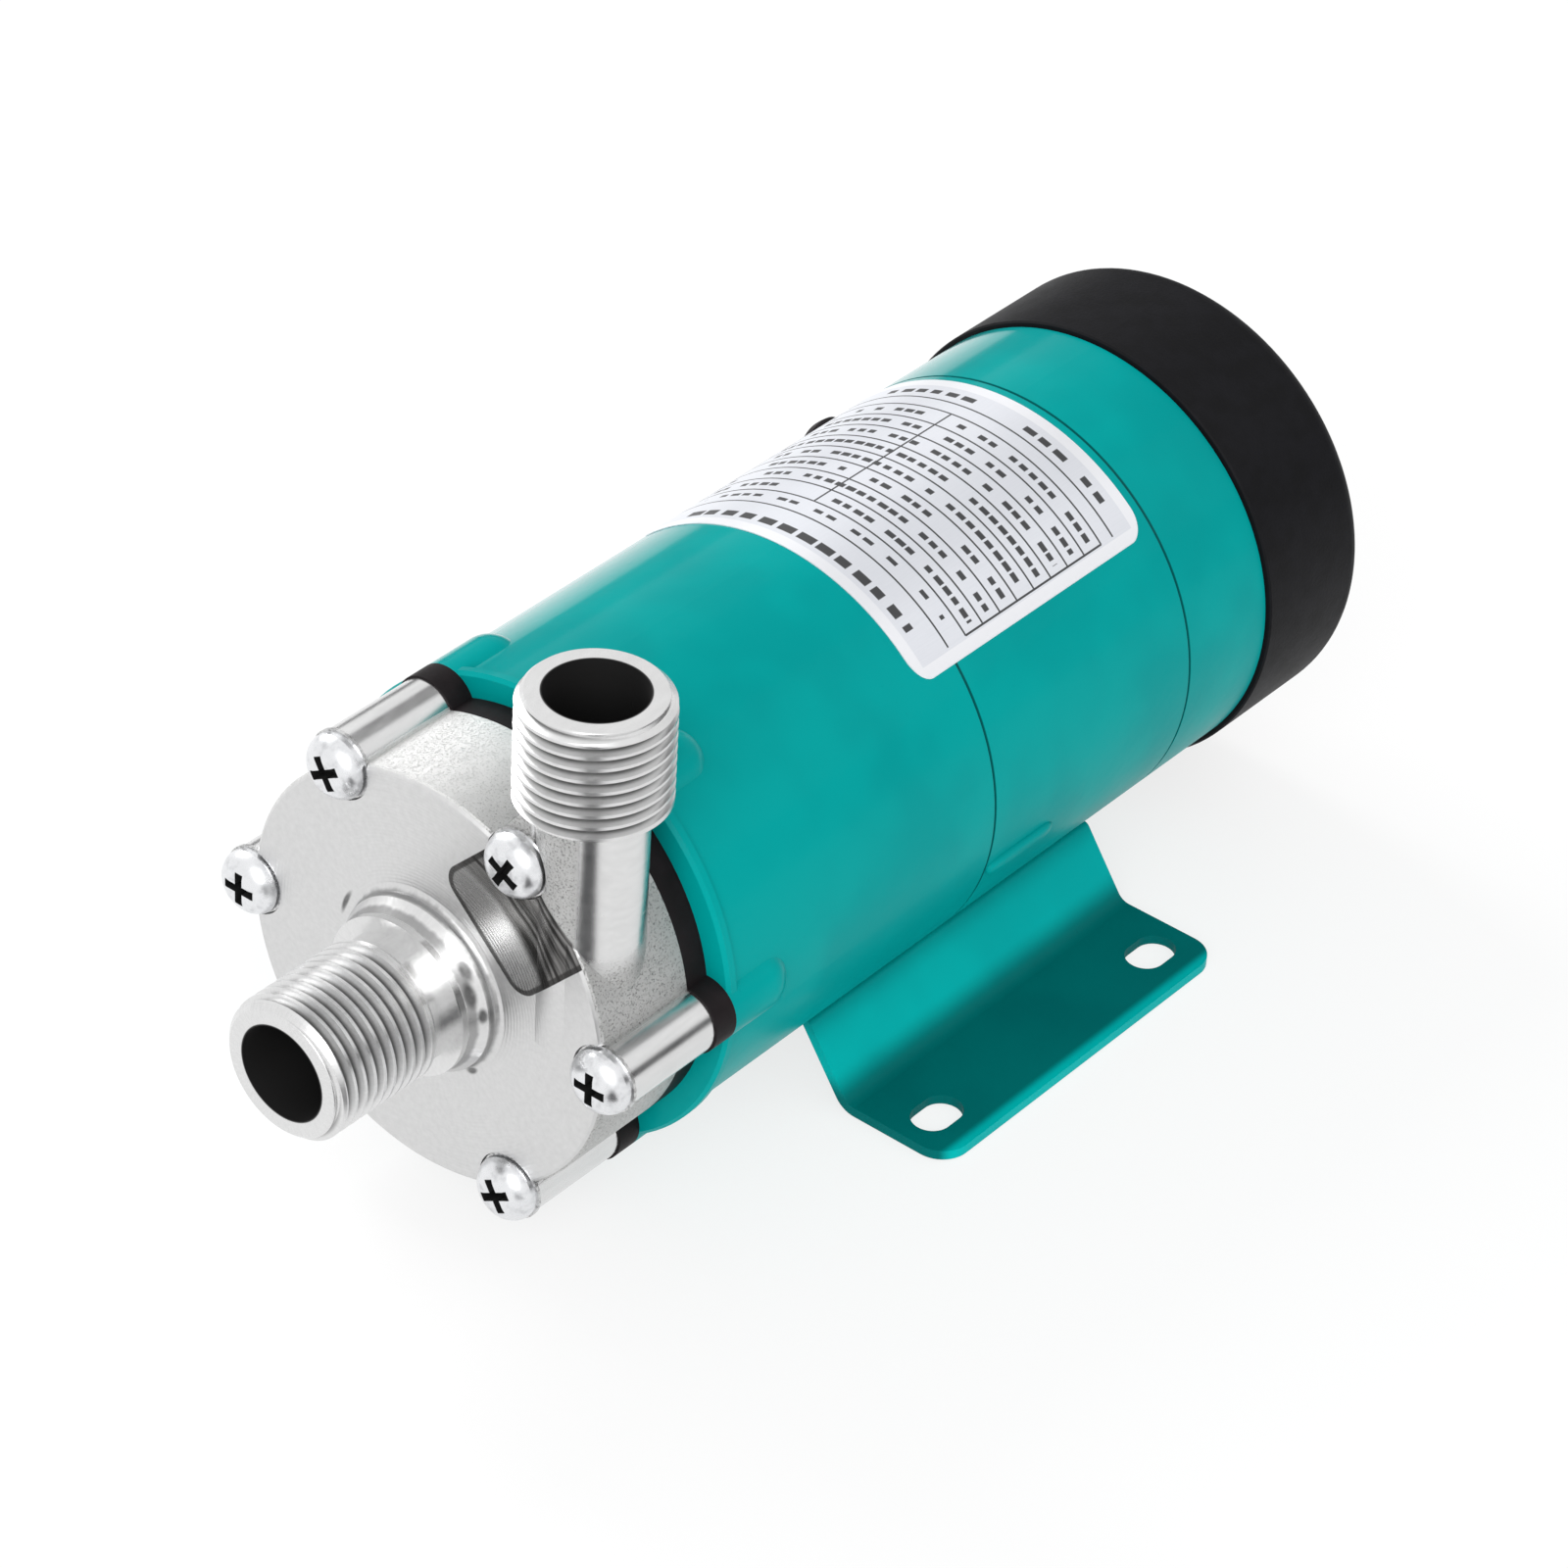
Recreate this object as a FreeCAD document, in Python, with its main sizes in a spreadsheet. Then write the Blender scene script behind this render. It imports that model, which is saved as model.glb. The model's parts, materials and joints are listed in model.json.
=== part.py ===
import FreeCAD, Part
import os
import re
import Sketcher
from FreeCAD import Vector

# Magnetic drive pump, in millimetres.
# The pump axis lies along X, the inlet faces -X, Z is up and the outlet side is -Y.
# The origin is the centre of the four foot slots, on the underside of the feet.

doc = FreeCAD.newDocument("MagneticDrivePump")
sheet = doc.addObject("Spreadsheet::Sheet", "Sizes")

# Driving dimensions: name, value, and what the value is on the pump
SIZE_ROWS = [
    # Main stations and the body
    ("axis_height", 40.0, "pump axis above the underside of the feet"),
    ("seam_x", -8.7, "joint between the bracket and the motor shell"),
    ("body_radius", 34.2, "outside of the bracket, the motor shell and the end bell"),
    ("bracket_length", 58.0, "bracket, from the black flange to the motor shell"),
    ("flange_thickness", 4.0, "black flange between the pump head and the bracket"),
    ("casing_depth", 17.0, "pump head, from its flat face to the black flange"),
    ("casing_radius", 31.2, "outside of the pump head and of the black flange"),
    ("shell_length", 45.2, "motor shell"),
    ("bell_length", 18.5, "visible length of the end bell"),
    ("cover_length", 23.2, "fan cover"),
    ("cover_step", 0.8, "fan cover outside the end bell, in radius"),
    ("cover_gap", 0.3, "dark line between the end bell and the fan cover"),
    ("seam_chamfer", 0.25, "broken edge at each seam"),
    # Ports
    ("thread_radius", 10.4775, "crest of the G1/2 male thread"),
    ("thread_pitch", 1.814, "pitch of the G1/2 thread"),
    ("thread_depth", 1.1, "depth of the thread groove"),
    ("thread_crest", 0.46, "flat on top of the thread"),
    ("thread_root", 0.44, "flat at the bottom of the thread groove"),
    ("port_bore", 7.0, "bore radius of both ports"),
    ("port_bevel", 1.18, "thread crest to the flat end face of a port, in radius"),
    ("port_lip_length", 1.2, "bevel at the end of a port"),
    ("inlet_reach", 27.3, "inlet end ahead of the flat face"),
    ("inlet_thread_length", 18.0, "threaded length of the inlet, with its bevel"),
    ("neck_step", 0.98, "thread crest to the plain neck behind it, in radius"),
    ("collar_reach", 5.4, "front of the collar ahead of the flat face"),
    ("collar_width", 1.0, "thin collar at the root of the inlet"),
    ("collar_radius", 11.8, "outside of the collar"),
    ("flare_radius", 11.3, "root of the inlet just behind the collar"),
    ("flare_foot_radius", 13.0, "root of the inlet where it meets the face"),
    ("flare_fillet", 1.2, "fillet between the inlet root and the face"),
    ("flare_run", 1.8, "straight foot of the inlet root, ahead of the flat face"),
    ("outlet_side", 21.8, "outlet axis, sideways from the pump axis"),
    ("outlet_setback", 7.2, "outlet axis behind the flat face"),
    ("outlet_height", 53.5, "outlet mouth above the pump axis"),
    ("outlet_thread_length", 16.0, "threaded length of the outlet, with its bevel"),
    ("outlet_neck_radius", 7.6, "cast neck below the outlet thread"),
    ("outlet_bore_depth", 14.6, "depth of the wide bore in the outlet"),
    ("throat_radius", 4.0, "passage from the chamber up to the outlet bore"),
    ("throat_offset", 1.0, "passage axis, further out than the outlet axis"),
    # Pump head
    ("rim_chamfer", 0.6, "bevel around the flat face"),
    ("face_wall", 3.0, "wall behind the flat face"),
    ("chamber_inset", 6.7, "impeller chamber inside the outside of the head"),
    ("oring_inset", 4.1, "middle of the casing seal inside the outside of the head"),
    ("oring_section", 0.84, "section radius of the casing seal"),
    ("oring_groove_width", 2.2, "seal groove"),
    ("oring_groove_depth", 1.7, "seal groove"),
    ("spider_radius", 4.2, "hub in the inlet that holds the spindle"),
    ("spider_arm", 1.6, "thickness of the hub's three arms"),
    ("spider_length", 4.0, "hub along the pump axis"),
    ("eye_bore", 7.8, "wider bore around the hub, behind the inlet bore"),
    ("eye_lead", 0.8, "wider bore ahead of the hub"),
    ("web_height", 14.4, "cast web beside the outlet neck, below the thread"),
    ("web_top", 2.2, "level top of the web, from the outlet axis"),
    ("web_knee", 7.2, "bend in the web, from the outlet axis"),
    ("web_knee_drop", 4.0, "bend in the web, below the thread"),
    ("web_foot", 10.8, "inner edge of the web, from the outlet axis"),
    ("web_foot_drop", 8.6, "inner edge of the web, below the thread"),
    # Casing screws
    ("screw_count", 6, "casing screws"),
    ("screw_radius", 2.5, "M5 thread"),
    ("screw_length", 30.0, "under the head"),
    ("screw_head_radius", 4.75, "pan head"),
    ("screw_head_height", 3.3, "pan head"),
    ("screw_head_edge", 0.9, "straight edge of the pan head"),
    ("screw_head_flat", 1.8, "flat top of the pan head, radius"),
    ("screw_point", 1.0, "bevel at a screw tip"),
    ("recess_width", 1.25, "cross recess arm"),
    ("recess_length", 5.0, "cross recess, tip to tip"),
    ("recess_depth", 2.1, "cross recess"),
    ("washer_radius", 5.0, "washer under each head"),
    ("washer_thickness", 0.5, "washer"),
    ("casing_boss_radius", 4.7, "screw boss on the pump head"),
    ("boss_setback", 0.9, "boss face behind the flat face"),
    ("lobe_radius", 5.0, "lobe of the black flange and rib of the bracket"),
    ("rib_length", 13.5, "rib on the bracket behind each screw"),
    ("screw_hole_clearance", 0.15, "screw in its clearance hole, radial"),
    ("thread_fit", 0.02, "screw or seated shaft in its hole, radial"),
    ("screw_hole_spare", 2.5, "tapped hole beyond the screw tip"),
    # Rear casing, the thin can between the magnets
    ("can_inner", 18.2, "inside radius of the can"),
    ("can_wall", 1.6, "wall of the can"),
    ("can_length", 36.0, "flange front to the closed end"),
    ("can_floor", 3.0, "closed end"),
    ("spindle_radius", 3.0, "ceramic spindle"),
    ("spindle_seat", 3.2, "spindle depth in its front and rear seats"),
    ("spindle_boss_radius", 5.6, "rear seat of the spindle"),
    ("spindle_boss_length", 4.0, "rear seat of the spindle"),
    ("thrust_thickness", 1.2, "ceramic thrust ring"),
    ("thrust_radius", 5.4, "ceramic thrust ring"),
    ("running_clearance", 0.05, "bush on the spindle, radial"),
    ("end_play", 0.25, "bush to each thrust ring"),
    # Impeller and inner magnet
    ("impeller_clearance", 2.5, "impeller inside its chamber, radial"),
    ("impeller_gap", 1.4, "face wall to the front shroud"),
    ("shroud_thickness", 1.2, "front shroud"),
    ("eye_radius", 8.2, "eye of the impeller"),
    ("blade_height", 5.6, "impeller blade"),
    ("blade_thickness", 1.5, "impeller blade"),
    ("blade_root", 9.0, "radius where a blade starts"),
    ("blade_margin", 1.4, "blade tips inside the rim of the impeller"),
    ("blade_sweep", 38.0, "angle that a blade sweeps back"),
    ("blade_count", 6, "impeller blades"),
    ("back_thickness", 2.0, "back plate of the impeller"),
    ("impeller_hub", 6.6, "hub of the impeller"),
    ("bush_radius", 4.8, "outside of the bush"),
    ("capsule_radius", 17.2, "outside of the magnet capsule"),
    ("capsule_wall", 0.9, "wall of the magnet capsule"),
    ("inner_magnet_bore", 11.0, "bore of the inner magnet"),
    ("magnet_length", 20.0, "inner and outer magnets"),
    ("capsule_lid_thickness", 1.4, "lid behind the inner magnet"),
    # Drive magnet
    ("magnet_gap", 0.9, "can to the outer magnets, radial"),
    ("magnet_thickness", 4.0, "outer magnets"),
    ("magnet_count", 8, "outer magnets"),
    ("magnet_arc", 40.0, "angle of one outer magnet"),
    ("yoke_wall", 2.4, "steel cup around the outer magnets"),
    ("yoke_clearance", 0.7, "steel cup in the front bore of the bracket, radial"),
    ("yoke_lip", 1.0, "steel cup ahead of the magnets"),
    ("yoke_floor_gap", 1.2, "can to the floor of the cup"),
    ("yoke_floor", 3.0, "floor of the cup"),
    ("yoke_hub_radius", 8.0, "hub of the cup"),
    ("yoke_hub_length", 5.0, "hub behind the floor"),
    ("set_screw_radius", 2.0, "M4 set screw"),
    ("set_screw_length", 3.6, "M4 set screw"),
    ("set_socket_radius", 1.1, "hexagon socket of the set screw"),
    ("set_socket_depth", 1.8, "hexagon socket of the set screw"),
    # Bracket
    ("lip_height", 0.7, "raised lip at the front of the bracket"),
    ("lip_length", 1.6, "raised lip"),
    ("lip_round", 0.5, "rounded edge of the lip"),
    ("bracket_bore_depth", 22.0, "front bore of the bracket"),
    ("bracket_wall", 3.2, "wall of the bracket and of the end bell"),
    ("web_x", 44.7, "bearing web behind the front of the bracket"),
    ("web_wall", 4.0, "bearing web"),
    ("bearing_hub_radius", 14.0, "hub around a bearing"),
    ("hub_shoulder", 1.6, "shoulder that a bearing rests on"),
    ("shoulder_hole", 8.6, "hole through the shoulder"),
    ("spigot_length", 4.0, "register inside the motor shell"),
    ("spigot_wall", 1.2, "wall of the register"),
    ("spigot_clearance", 0.06, "register in the motor shell, radial"),
    # Bearings, size 608
    ("bearing_radius", 11.0, "outside of a bearing"),
    ("bearing_width", 7.0, "bearing"),
    ("bearing_bore", 4.0, "bearing bore radius, and the shaft journals"),
    ("ball_circle", 7.5, "radius of the ball circle"),
    ("ball_radius", 1.98, "bearing ball"),
    ("ball_count", 7, "balls in one bearing"),
    ("race_radius", 2.03, "groove that the balls run in"),
    ("race_land", 1.75, "ball circle to the land of each ring"),
    # Motor
    ("shell_wall", 2.0, "motor shell"),
    ("core_start", 7.7, "stator core behind the seam"),
    ("core_end_space", 13.5, "stator core to the rear end of the motor shell"),
    ("core_clearance", 0.05, "stator core in the motor shell, radial"),
    ("stator_bore", 18.4, "bore of the stator core"),
    ("slot_count", 12, "winding slots"),
    ("slot_width", 3.5, "winding slot"),
    ("back_iron", 6.2, "stator core outside the winding slots"),
    ("slot_top", 19.7, "inner end of a winding slot"),
    ("slot_mouth", 1.2, "opening of a slot to the bore"),
    ("coil_clearance", 0.15, "coil to the slot walls"),
    ("coil_overhang", 5.5, "end turns beyond the core"),
    ("rotor_radius", 18.0, "rotor core"),
    ("shaft_seat", 5.0, "shaft under the rotor core"),
    ("shaft_bevel", 0.4, "bevel at each end of the shaft"),
    ("shaft_gap", 0.3, "end of the shaft to the floor of the cup"),
    ("cage_bar_radius", 1.3, "rotor cage bar"),
    ("cage_bar_circle", 15.3, "radius of the cage bar circle"),
    ("cage_bar_count", 16, "rotor cage bars"),
    ("cage_ring_inner", 10.0, "rotor cage end ring"),
    ("cage_ring_width", 3.5, "rotor cage end ring"),
    ("cage_ring_margin", 1.0, "rotor cage end ring inside the rotor core"),
    # End bell, fan and fan cover
    ("bell_web_x", 3.5, "bearing web behind the front of the end bell"),
    ("register_length", 5.0, "register that the fan cover slides on"),
    ("register_clearance", 0.1, "fan cover on its register, radial"),
    ("cover_wall", 1.9, "fan cover"),
    ("cover_back", 4.0, "back wall of the fan cover"),
    ("cover_round", 3.0, "rounded rear edge of the fan cover"),
    ("vent_count", 12, "air slots in the back of the fan cover"),
    ("vent_width", 3.0, "air slot"),
    ("vent_inner", 8.0, "inner end of an air slot"),
    ("vent_margin", 2.0, "outer end of an air slot inside the fan"),
    ("post_count", 4, "posts for the fan cover"),
    ("post_radius", 3.1, "post"),
    ("post_inset", 1.6, "post middle inside the wall of the end bell"),
    ("cover_screw_radius", 1.5, "fan cover screw"),
    ("cover_screw_length", 10.0, "fan cover screw"),
    ("cover_head_radius", 2.8, "fan cover screw head"),
    ("cover_head_height", 1.7, "fan cover screw head"),
    ("cover_head_edge", 0.85, "straight edge of a fan cover screw head"),
    ("cover_head_flat", 1.95, "flat top of a fan cover screw head, radius"),
    ("cover_point", 1.5, "length of a fan cover screw tip"),
    ("cover_tip_radius", 0.75, "end of a fan cover screw tip"),
    ("cover_recess_arm", 0.42, "half of the width of a recess arm"),
    ("cover_recess_reach", 1.55, "recess, from its middle to the end of an arm"),
    ("cover_recess_depth", 1.0, "recess of a fan cover screw"),
    ("pilot_spare", 1.0, "pilot hole beyond a fan cover screw tip"),
    ("counterbore_depth", 2.0, "recess for a fan cover screw head"),
    ("fan_setback", 2.7, "fan behind the front of its cover"),
    ("fan_clearance", 1.3, "fan to the posts"),
    ("fan_disc", 1.5, "fan back disc"),
    ("fan_hub_radius", 7.0, "fan hub"),
    ("fan_length", 10.0, "fan"),
    ("fan_blade", 1.4, "fan blade"),
    ("fan_blade_margin", 0.5, "blade tips inside the fan disc"),
    ("fan_blade_count", 8, "fan blades"),
    ("clip_groove_depth", 0.6, "groove for the fan clip"),
    ("clip_width", 1.0, "fan clip"),
    ("clip_radius", 5.8, "outside of the fan clip"),
    ("clip_clearance", 0.05, "fan clip in its groove, each side"),
    ("shaft_end", 1.9, "shaft beyond the fan clip"),
    # Tie bolts
    ("tie_count", 4, "bolts that hold bracket, shell and end bell together"),
    ("tie_inset", 2.1, "tie bolts inside the wall of the end bell"),
    ("tie_radius", 2.0, "M4 tie bolt"),
    ("tie_head_radius", 3.5, "tie bolt head"),
    ("tie_head_height", 2.6, "tie bolt head"),
    ("tie_pocket_depth", 4.0, "pocket in the wall beside each tie bolt head"),
    # Foot bracket
    ("foot_half_length", 32.1, "half of the foot bracket along the pump axis"),
    ("foot_half_width", 47.3, "outer edge of a foot"),
    ("foot_sheet", 1.5, "sheet metal"),
    ("foot_bend", 29.6, "bend between a foot and its web"),
    ("saddle_angle", 38.34, "half of the angle that the saddle covers"),
    ("foot_inside_round", 2.5, "bend radius above a foot"),
    ("saddle_round", 1.2, "bend radius beside the saddle"),
    ("foot_corner", 4.5, "rounded corner of a foot"),
    ("slot_end_margin", 7.1, "slot middle to the end of a foot"),
    ("slot_edge_margin", 7.3, "slot middle to the outer edge of a foot"),
    ("slot_radius", 3.0, "half of the slot width"),
    ("slot_reach", 8.5, "slot end to end"),
    ("base_screw_lead", 4.8, "front base screw ahead of the front seam"),
    ("base_screw_inset", 9.5, "rear base screw ahead of the end bell"),
    ("base_screw_radius", 2.0, "M4"),
    ("base_screw_length", 8.0, "under the head"),
    ("base_head_radius", 3.6, "base screw head"),
    ("base_head_height", 2.2, "base screw head"),
    ("base_socket_radius", 1.6, "hexagon socket of a base screw"),
    ("base_socket_depth", 1.3, "hexagon socket of a base screw"),
    ("nut_radius", 4.0, "corner radius of a base nut"),
    ("nut_height", 2.6, "base nut"),
    # Label and cable gland
    ("label_lead", 7.8, "rating label ahead of the front seam"),
    ("label_tail", 1.8, "rating label short of the end bell"),
    ("label_half_angle", 48.0, "half of the angle that the label covers"),
    ("label_thickness", 0.15, "rating label"),
    ("label_corner", 3.0, "rounded corner of the label"),
    ("label_lift", 0.02, "label above the paint"),
    ("gland_x", 12.2, "cable gland behind the front of the end bell"),
    ("gland_boss_radius", 6.0, "flat boss under the cable gland"),
    ("gland_boss_height", 1.4, "flat boss outside the end bell"),
    ("gland_stem_radius", 3.6, "stem of the cable gland"),
    ("gland_stem_length", 7.0, "stem of the cable gland"),
    ("gland_body_radius", 5.6, "body of the cable gland"),
    ("gland_body_length", 3.2, "body of the cable gland"),
    ("gland_nut_radius", 5.0, "cap nut of the cable gland"),
    ("gland_nut_length", 6.2, "cap nut of the cable gland"),
    ("gland_nut_round", 1.5, "crowned end of the cap nut"),
    ("gland_mouth", 0.8, "flared mouth of the cap nut, radial"),
    ("gland_mouth_depth", 0.6, "flared mouth of the cap nut"),
    ("gland_bore", 2.8, "hole for the cable"),
]
NAMES = {name for name, value, note in SIZE_ROWS}
for row, (name, value, note) in enumerate(SIZE_ROWS, start=1):
    sheet.set(f"A{row}", note)
    sheet.set(f"B{row}", str(value))
    sheet.setAlias(f"B{row}", name)
doc.recompute()

# Sizes that follow from the driving dimensions
DERIVED = {
    "screw_circle": "casing_radius",
    "port_lip_radius": "thread_radius - port_bevel",
    "inlet_neck_radius": "thread_radius - neck_step",
    "chamber_radius": "casing_radius - chamber_inset",
    "oring_radius": "casing_radius - oring_inset",
    "impeller_radius": "chamber_radius - impeller_clearance",
    "blade_tip": "impeller_radius - blade_margin",
    "bracket_bore": "can_inner + can_wall + magnet_gap + magnet_thickness + yoke_wall + yoke_clearance",
    "lip_radius": "body_radius + lip_height",
    "cover_radius": "body_radius + cover_step",
    "post_circle": "body_radius - bracket_wall - post_inset",
    "tie_circle": "body_radius - bracket_wall - tie_inset",
    "fan_radius": "post_circle - post_radius - fan_clearance",
    "vent_outer": "fan_radius - vent_margin",
    "slot_bottom": "body_radius - shell_wall - back_iron",
    "core_length": "shell_length - core_start - core_end_space",
    "saddle_top": "axis_height - (body_radius + foot_sheet) * cos(saddle_angle)",
    "slot_spacing_along": "2 * (foot_half_length - slot_end_margin)",
    "slot_spacing_across": "2 * (foot_half_width - slot_edge_margin)",
    "base_screw_front": "seam_x - base_screw_lead",
    "base_screw_rear": "seam_x + shell_length - base_screw_inset",
    "label_front": "seam_x - label_lead",
    "label_length": "label_lead + shell_length - label_tail",
    "gland_boss_reach": "body_radius + gland_boss_height",
}

# Stations along the pump axis, worked out from the driving dimensions
BRACKET_X = "(seam_x - bracket_length)"
FLANGE_X = f"({BRACKET_X} - flange_thickness)"
HEAD_X = f"({FLANGE_X} - casing_depth)"
BELL_X = "(seam_x + shell_length)"
COVER_X = f"({BELL_X} + bell_length + cover_gap)"
CAN_OUTER = "(can_inner + can_wall)"
CAN_FLOOR_X = f"({FLANGE_X} + can_length - can_floor)"
REAR_THRUST_X = f"({CAN_FLOOR_X} - spindle_boss_length - thrust_thickness)"
BUSH_REAR_X = f"({REAR_THRUST_X} - end_play)"
CHAMBER_X = f"({HEAD_X} + face_wall)"
IMPELLER_X = f"({CHAMBER_X} + impeller_gap)"
IMPELLER_LENGTH = "(shroud_thickness + blade_height + back_thickness)"
MAGNET_X = f"({BUSH_REAR_X} - capsule_lid_thickness - magnet_length)"
MAGNET_OUTER = "(capsule_radius - capsule_wall)"
YOKE_BORE = f"({CAN_OUTER} + magnet_gap + magnet_thickness)"
YOKE_FLOOR_X = f"({FLANGE_X} + can_length + yoke_floor_gap)"
YOKE_REAR_X = f"({YOKE_FLOOR_X} + yoke_floor + yoke_hub_length)"
WEB_X = f"({BRACKET_X} + web_x)"
FRONT_BEARING_X = WEB_X
REAR_BEARING_X = f"({BELL_X} + bell_web_x + web_wall - bearing_width)"
CORE_X = "(seam_x + core_start)"
SHELL_BORE = "(body_radius - shell_wall)"
SPIGOT = f"({SHELL_BORE} - spigot_clearance)"
CAVITY = "(body_radius - bracket_wall)"
FAN_X = f"({COVER_X} + fan_setback)"
COVER_BORE = "(cover_radius - cover_wall)"
REGISTER = f"({COVER_BORE} - register_clearance)"
COVER_BACK_X = f"({COVER_X} + cover_length - cover_back)"
SCREW_TIP_X = f"({HEAD_X} + boss_setback - washer_thickness + screw_length)"
# How far a cutting outline overshoots, and how far an arm or a blade reaches into its hub
MARGIN = "2"
BITE = "1"
THREAD_OVERCUT = "0.2"

# How near an edge has to be to the place that a fillet or a bevel looks for
NEAR = 0.001


def sized(text):
    """Spell out the derived sizes in an expression, and give each driving one its place in the sheet."""
    def spell(word):
        name = word.group()
        if name in DERIVED:
            return f"({sized(DERIVED[name])})"
        return f"Sizes.{name}" if name in NAMES else name

    return re.sub(r"[a-z_]+", spell, text)


def number(text):
    return float(sheet.evalExpression(sized(text)))


def bind(item, prop, text):
    item.setExpression(prop, sized(text))


def new_body(label, x="0", z="axis_height"):
    body = doc.addObject("PartDesign::Body", label)
    body.Label = label
    body.AllowCompound = True
    bind(body, "Placement.Base.x", x)
    bind(body, "Placement.Base.z", z)
    return body


def origin_item(body, role):
    return [item for item in body.Origin.OriginFeatures if item.Role == role][0]


def sketch_on(body, name, plane, shift=("0", "0", "0")):
    """A sketch on one of the body's own planes, moved by shift within and off that plane."""
    sketch = body.newObject("Sketcher::SketchObject", name)
    sketch.AttachmentSupport = [(origin_item(body, plane), "")]
    sketch.MapMode = "FlatFace"
    for direction, text in zip("xyz", shift):
        if text != "0":
            bind(sketch, f"AttachmentOffset.Base.{direction}", text)
    return sketch


def constrain(sketch, kind, *where, text):
    index = sketch.addConstraint(Sketcher.Constraint(kind, *where, number(text)))
    bind(sketch, f"Constraints[{index}]", text)


def pin_point(sketch, geometry, position, across, along):
    """Tie one point of the sketch to its two sizes."""
    for kind, text, axis in (("DistanceX", across, -2), ("DistanceY", along, -1)):
        if text == "0":
            sketch.addConstraint(Sketcher.Constraint("PointOnObject", geometry, position, axis))
        else:
            constrain(sketch, kind, -1, 1, geometry, position, text=text)


def arc_between(start, end, radius, side):
    """An arc of the given radius; side 1 bulges to the left of the way from start to end."""
    middle = (start + end) * 0.5
    half = (end - start).Length / 2
    left = Vector(start.y - end.y, end.x - start.x, 0).normalize()
    depth = max(radius * radius - half * half, 0.0) ** 0.5
    return Part.Arc(start, middle + left * (side * (radius - depth)), end)


def outline(sketch, points):
    """A closed outline of (across, along) points. Where an arc starts, a point has two more words:
    its radius, or "half" for half a circle, and the side that it bulges to."""
    places = [Vector(number(point[0]), number(point[1]), 0) for point in points]
    count = len(points)
    first = sketch.GeometryCount
    for index, point in enumerate(points):
        start, end = places[index], places[(index + 1) % count]
        if len(point) == 4:
            radius = (end - start).Length / 2 if point[2] == "half" else number(point[2])
            sketch.addGeometry(arc_between(start, end, radius, point[3]), False)
        else:
            sketch.addGeometry(Part.LineSegment(start, end), False)
    firsts = [arc_start(point) for point in points]
    for index in range(count):
        following = (index + 1) % count
        end = 3 - firsts[index]
        sketch.addConstraint(Sketcher.Constraint("Coincident", first + index, end,
                                                 first + following, firsts[following]))
    for index, point in enumerate(points):
        pin_point(sketch, first + index, firsts[index], point[0], point[1])
        if len(point) == 4:
            fix_arc(sketch, first + index, point, points[(index + 1) % count])
    return sketch


def fix_arc(sketch, geometry, point, following):
    """Give an arc its radius, or, where it is half a circle, keep its centre between its ends."""
    if point[2] != "half":
        constrain(sketch, "Radius", geometry, text=point[2])
    elif point[1] == following[1] == "0":
        sketch.addConstraint(Sketcher.Constraint("PointOnObject", geometry, 3, -1))
    elif point[1] == following[1]:
        constrain(sketch, "DistanceY", -1, 1, geometry, 3, text=point[1])
    else:
        constrain(sketch, "DistanceX", -1, 1, geometry, 3, text=point[0])


def arc_start(point):
    """Arcs run counter-clockwise, so one that bulges left has its start and end exchanged."""
    return 2 if len(point) == 4 and point[3] == 1 else 1


def circle(sketch, across, along, radius):
    centre = Vector(number(across), number(along), 0)
    index = sketch.addGeometry(Part.Circle(centre, Vector(0, 0, 1), number(radius)), False)
    pin_point(sketch, index, 3, across, along)
    constrain(sketch, "Radius", index, text=radius)
    return sketch


def revolve(body, name, points, cut=False, shift="0", angle="360", middle=False):
    """Turn an outline of (x, radius) points about X, or about a line parallel to X at -Y shift."""
    plane = "XY_Plane" if shift != "0" else "XZ_Plane"
    offset = ("0", f"-({shift})", "0") if shift != "0" else ("0", "0", "0")
    sketch = outline(sketch_on(body, f"{name}_outline", plane, offset), points)
    feature = body.newObject("PartDesign::Groove" if cut else "PartDesign::Revolution", name)
    feature.Profile = sketch
    feature.ReferenceAxis = (sketch, ["H_Axis"])
    feature.Midplane = middle
    bind(feature, "Angle", angle)
    doc.recompute()
    return feature


def extrude(body, name, sketch, length, cut=False, flip=False, middle=False):
    feature = body.newObject("PartDesign::Pocket" if cut else "PartDesign::Pad", name)
    feature.Profile = sketch
    bind(feature, "Length", length)
    feature.Reversed = flip
    feature.Midplane = middle
    doc.recompute()
    return feature


def pattern(body, name, features, count):
    """Repeat features around the pump axis."""
    feature = body.newObject("PartDesign::PolarPattern", name)
    feature.Originals = features
    feature.Axis = (origin_item(body, "X_Axis"), [""])
    feature.Angle = 360
    bind(feature, "Occurrences", count)
    body.Tip = feature
    doc.recompute()
    return feature


def edges_at(feature, test):
    """Names of the edges whose middle, and radius where it is an arc, pass the test."""
    names = []
    for index, edge in enumerate(feature.Shape.Edges, start=1):
        middle = edge.valueAt((edge.FirstParameter + edge.LastParameter) / 2)
        radius = edge.Curve.Radius if isinstance(edge.Curve, Part.Circle) else None
        if test(middle, radius, edge):
            names.append(f"Edge{index}")
    return names


def ring(x, radius):
    """A test for the circular edges around the pump axis at one station."""
    station, size = number(x), number(radius)

    def test(middle, found, edge):
        if found is None or abs(found - size) > NEAR:
            return False
        centre = edge.Curve.Center
        return abs(centre.x - station) < NEAR and abs(centre.y) + abs(centre.z) < NEAR

    return test


def dress(body, kind, name, test, size):
    """Fillet or chamfer the edges that pass the test."""
    base = body.Tip
    feature = body.newObject(f"PartDesign::{kind}", name)
    feature.Base = (base, edges_at(base, test))
    bind(feature, "Radius" if kind == "Fillet" else "Size", size)
    doc.recompute()
    return feature


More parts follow.
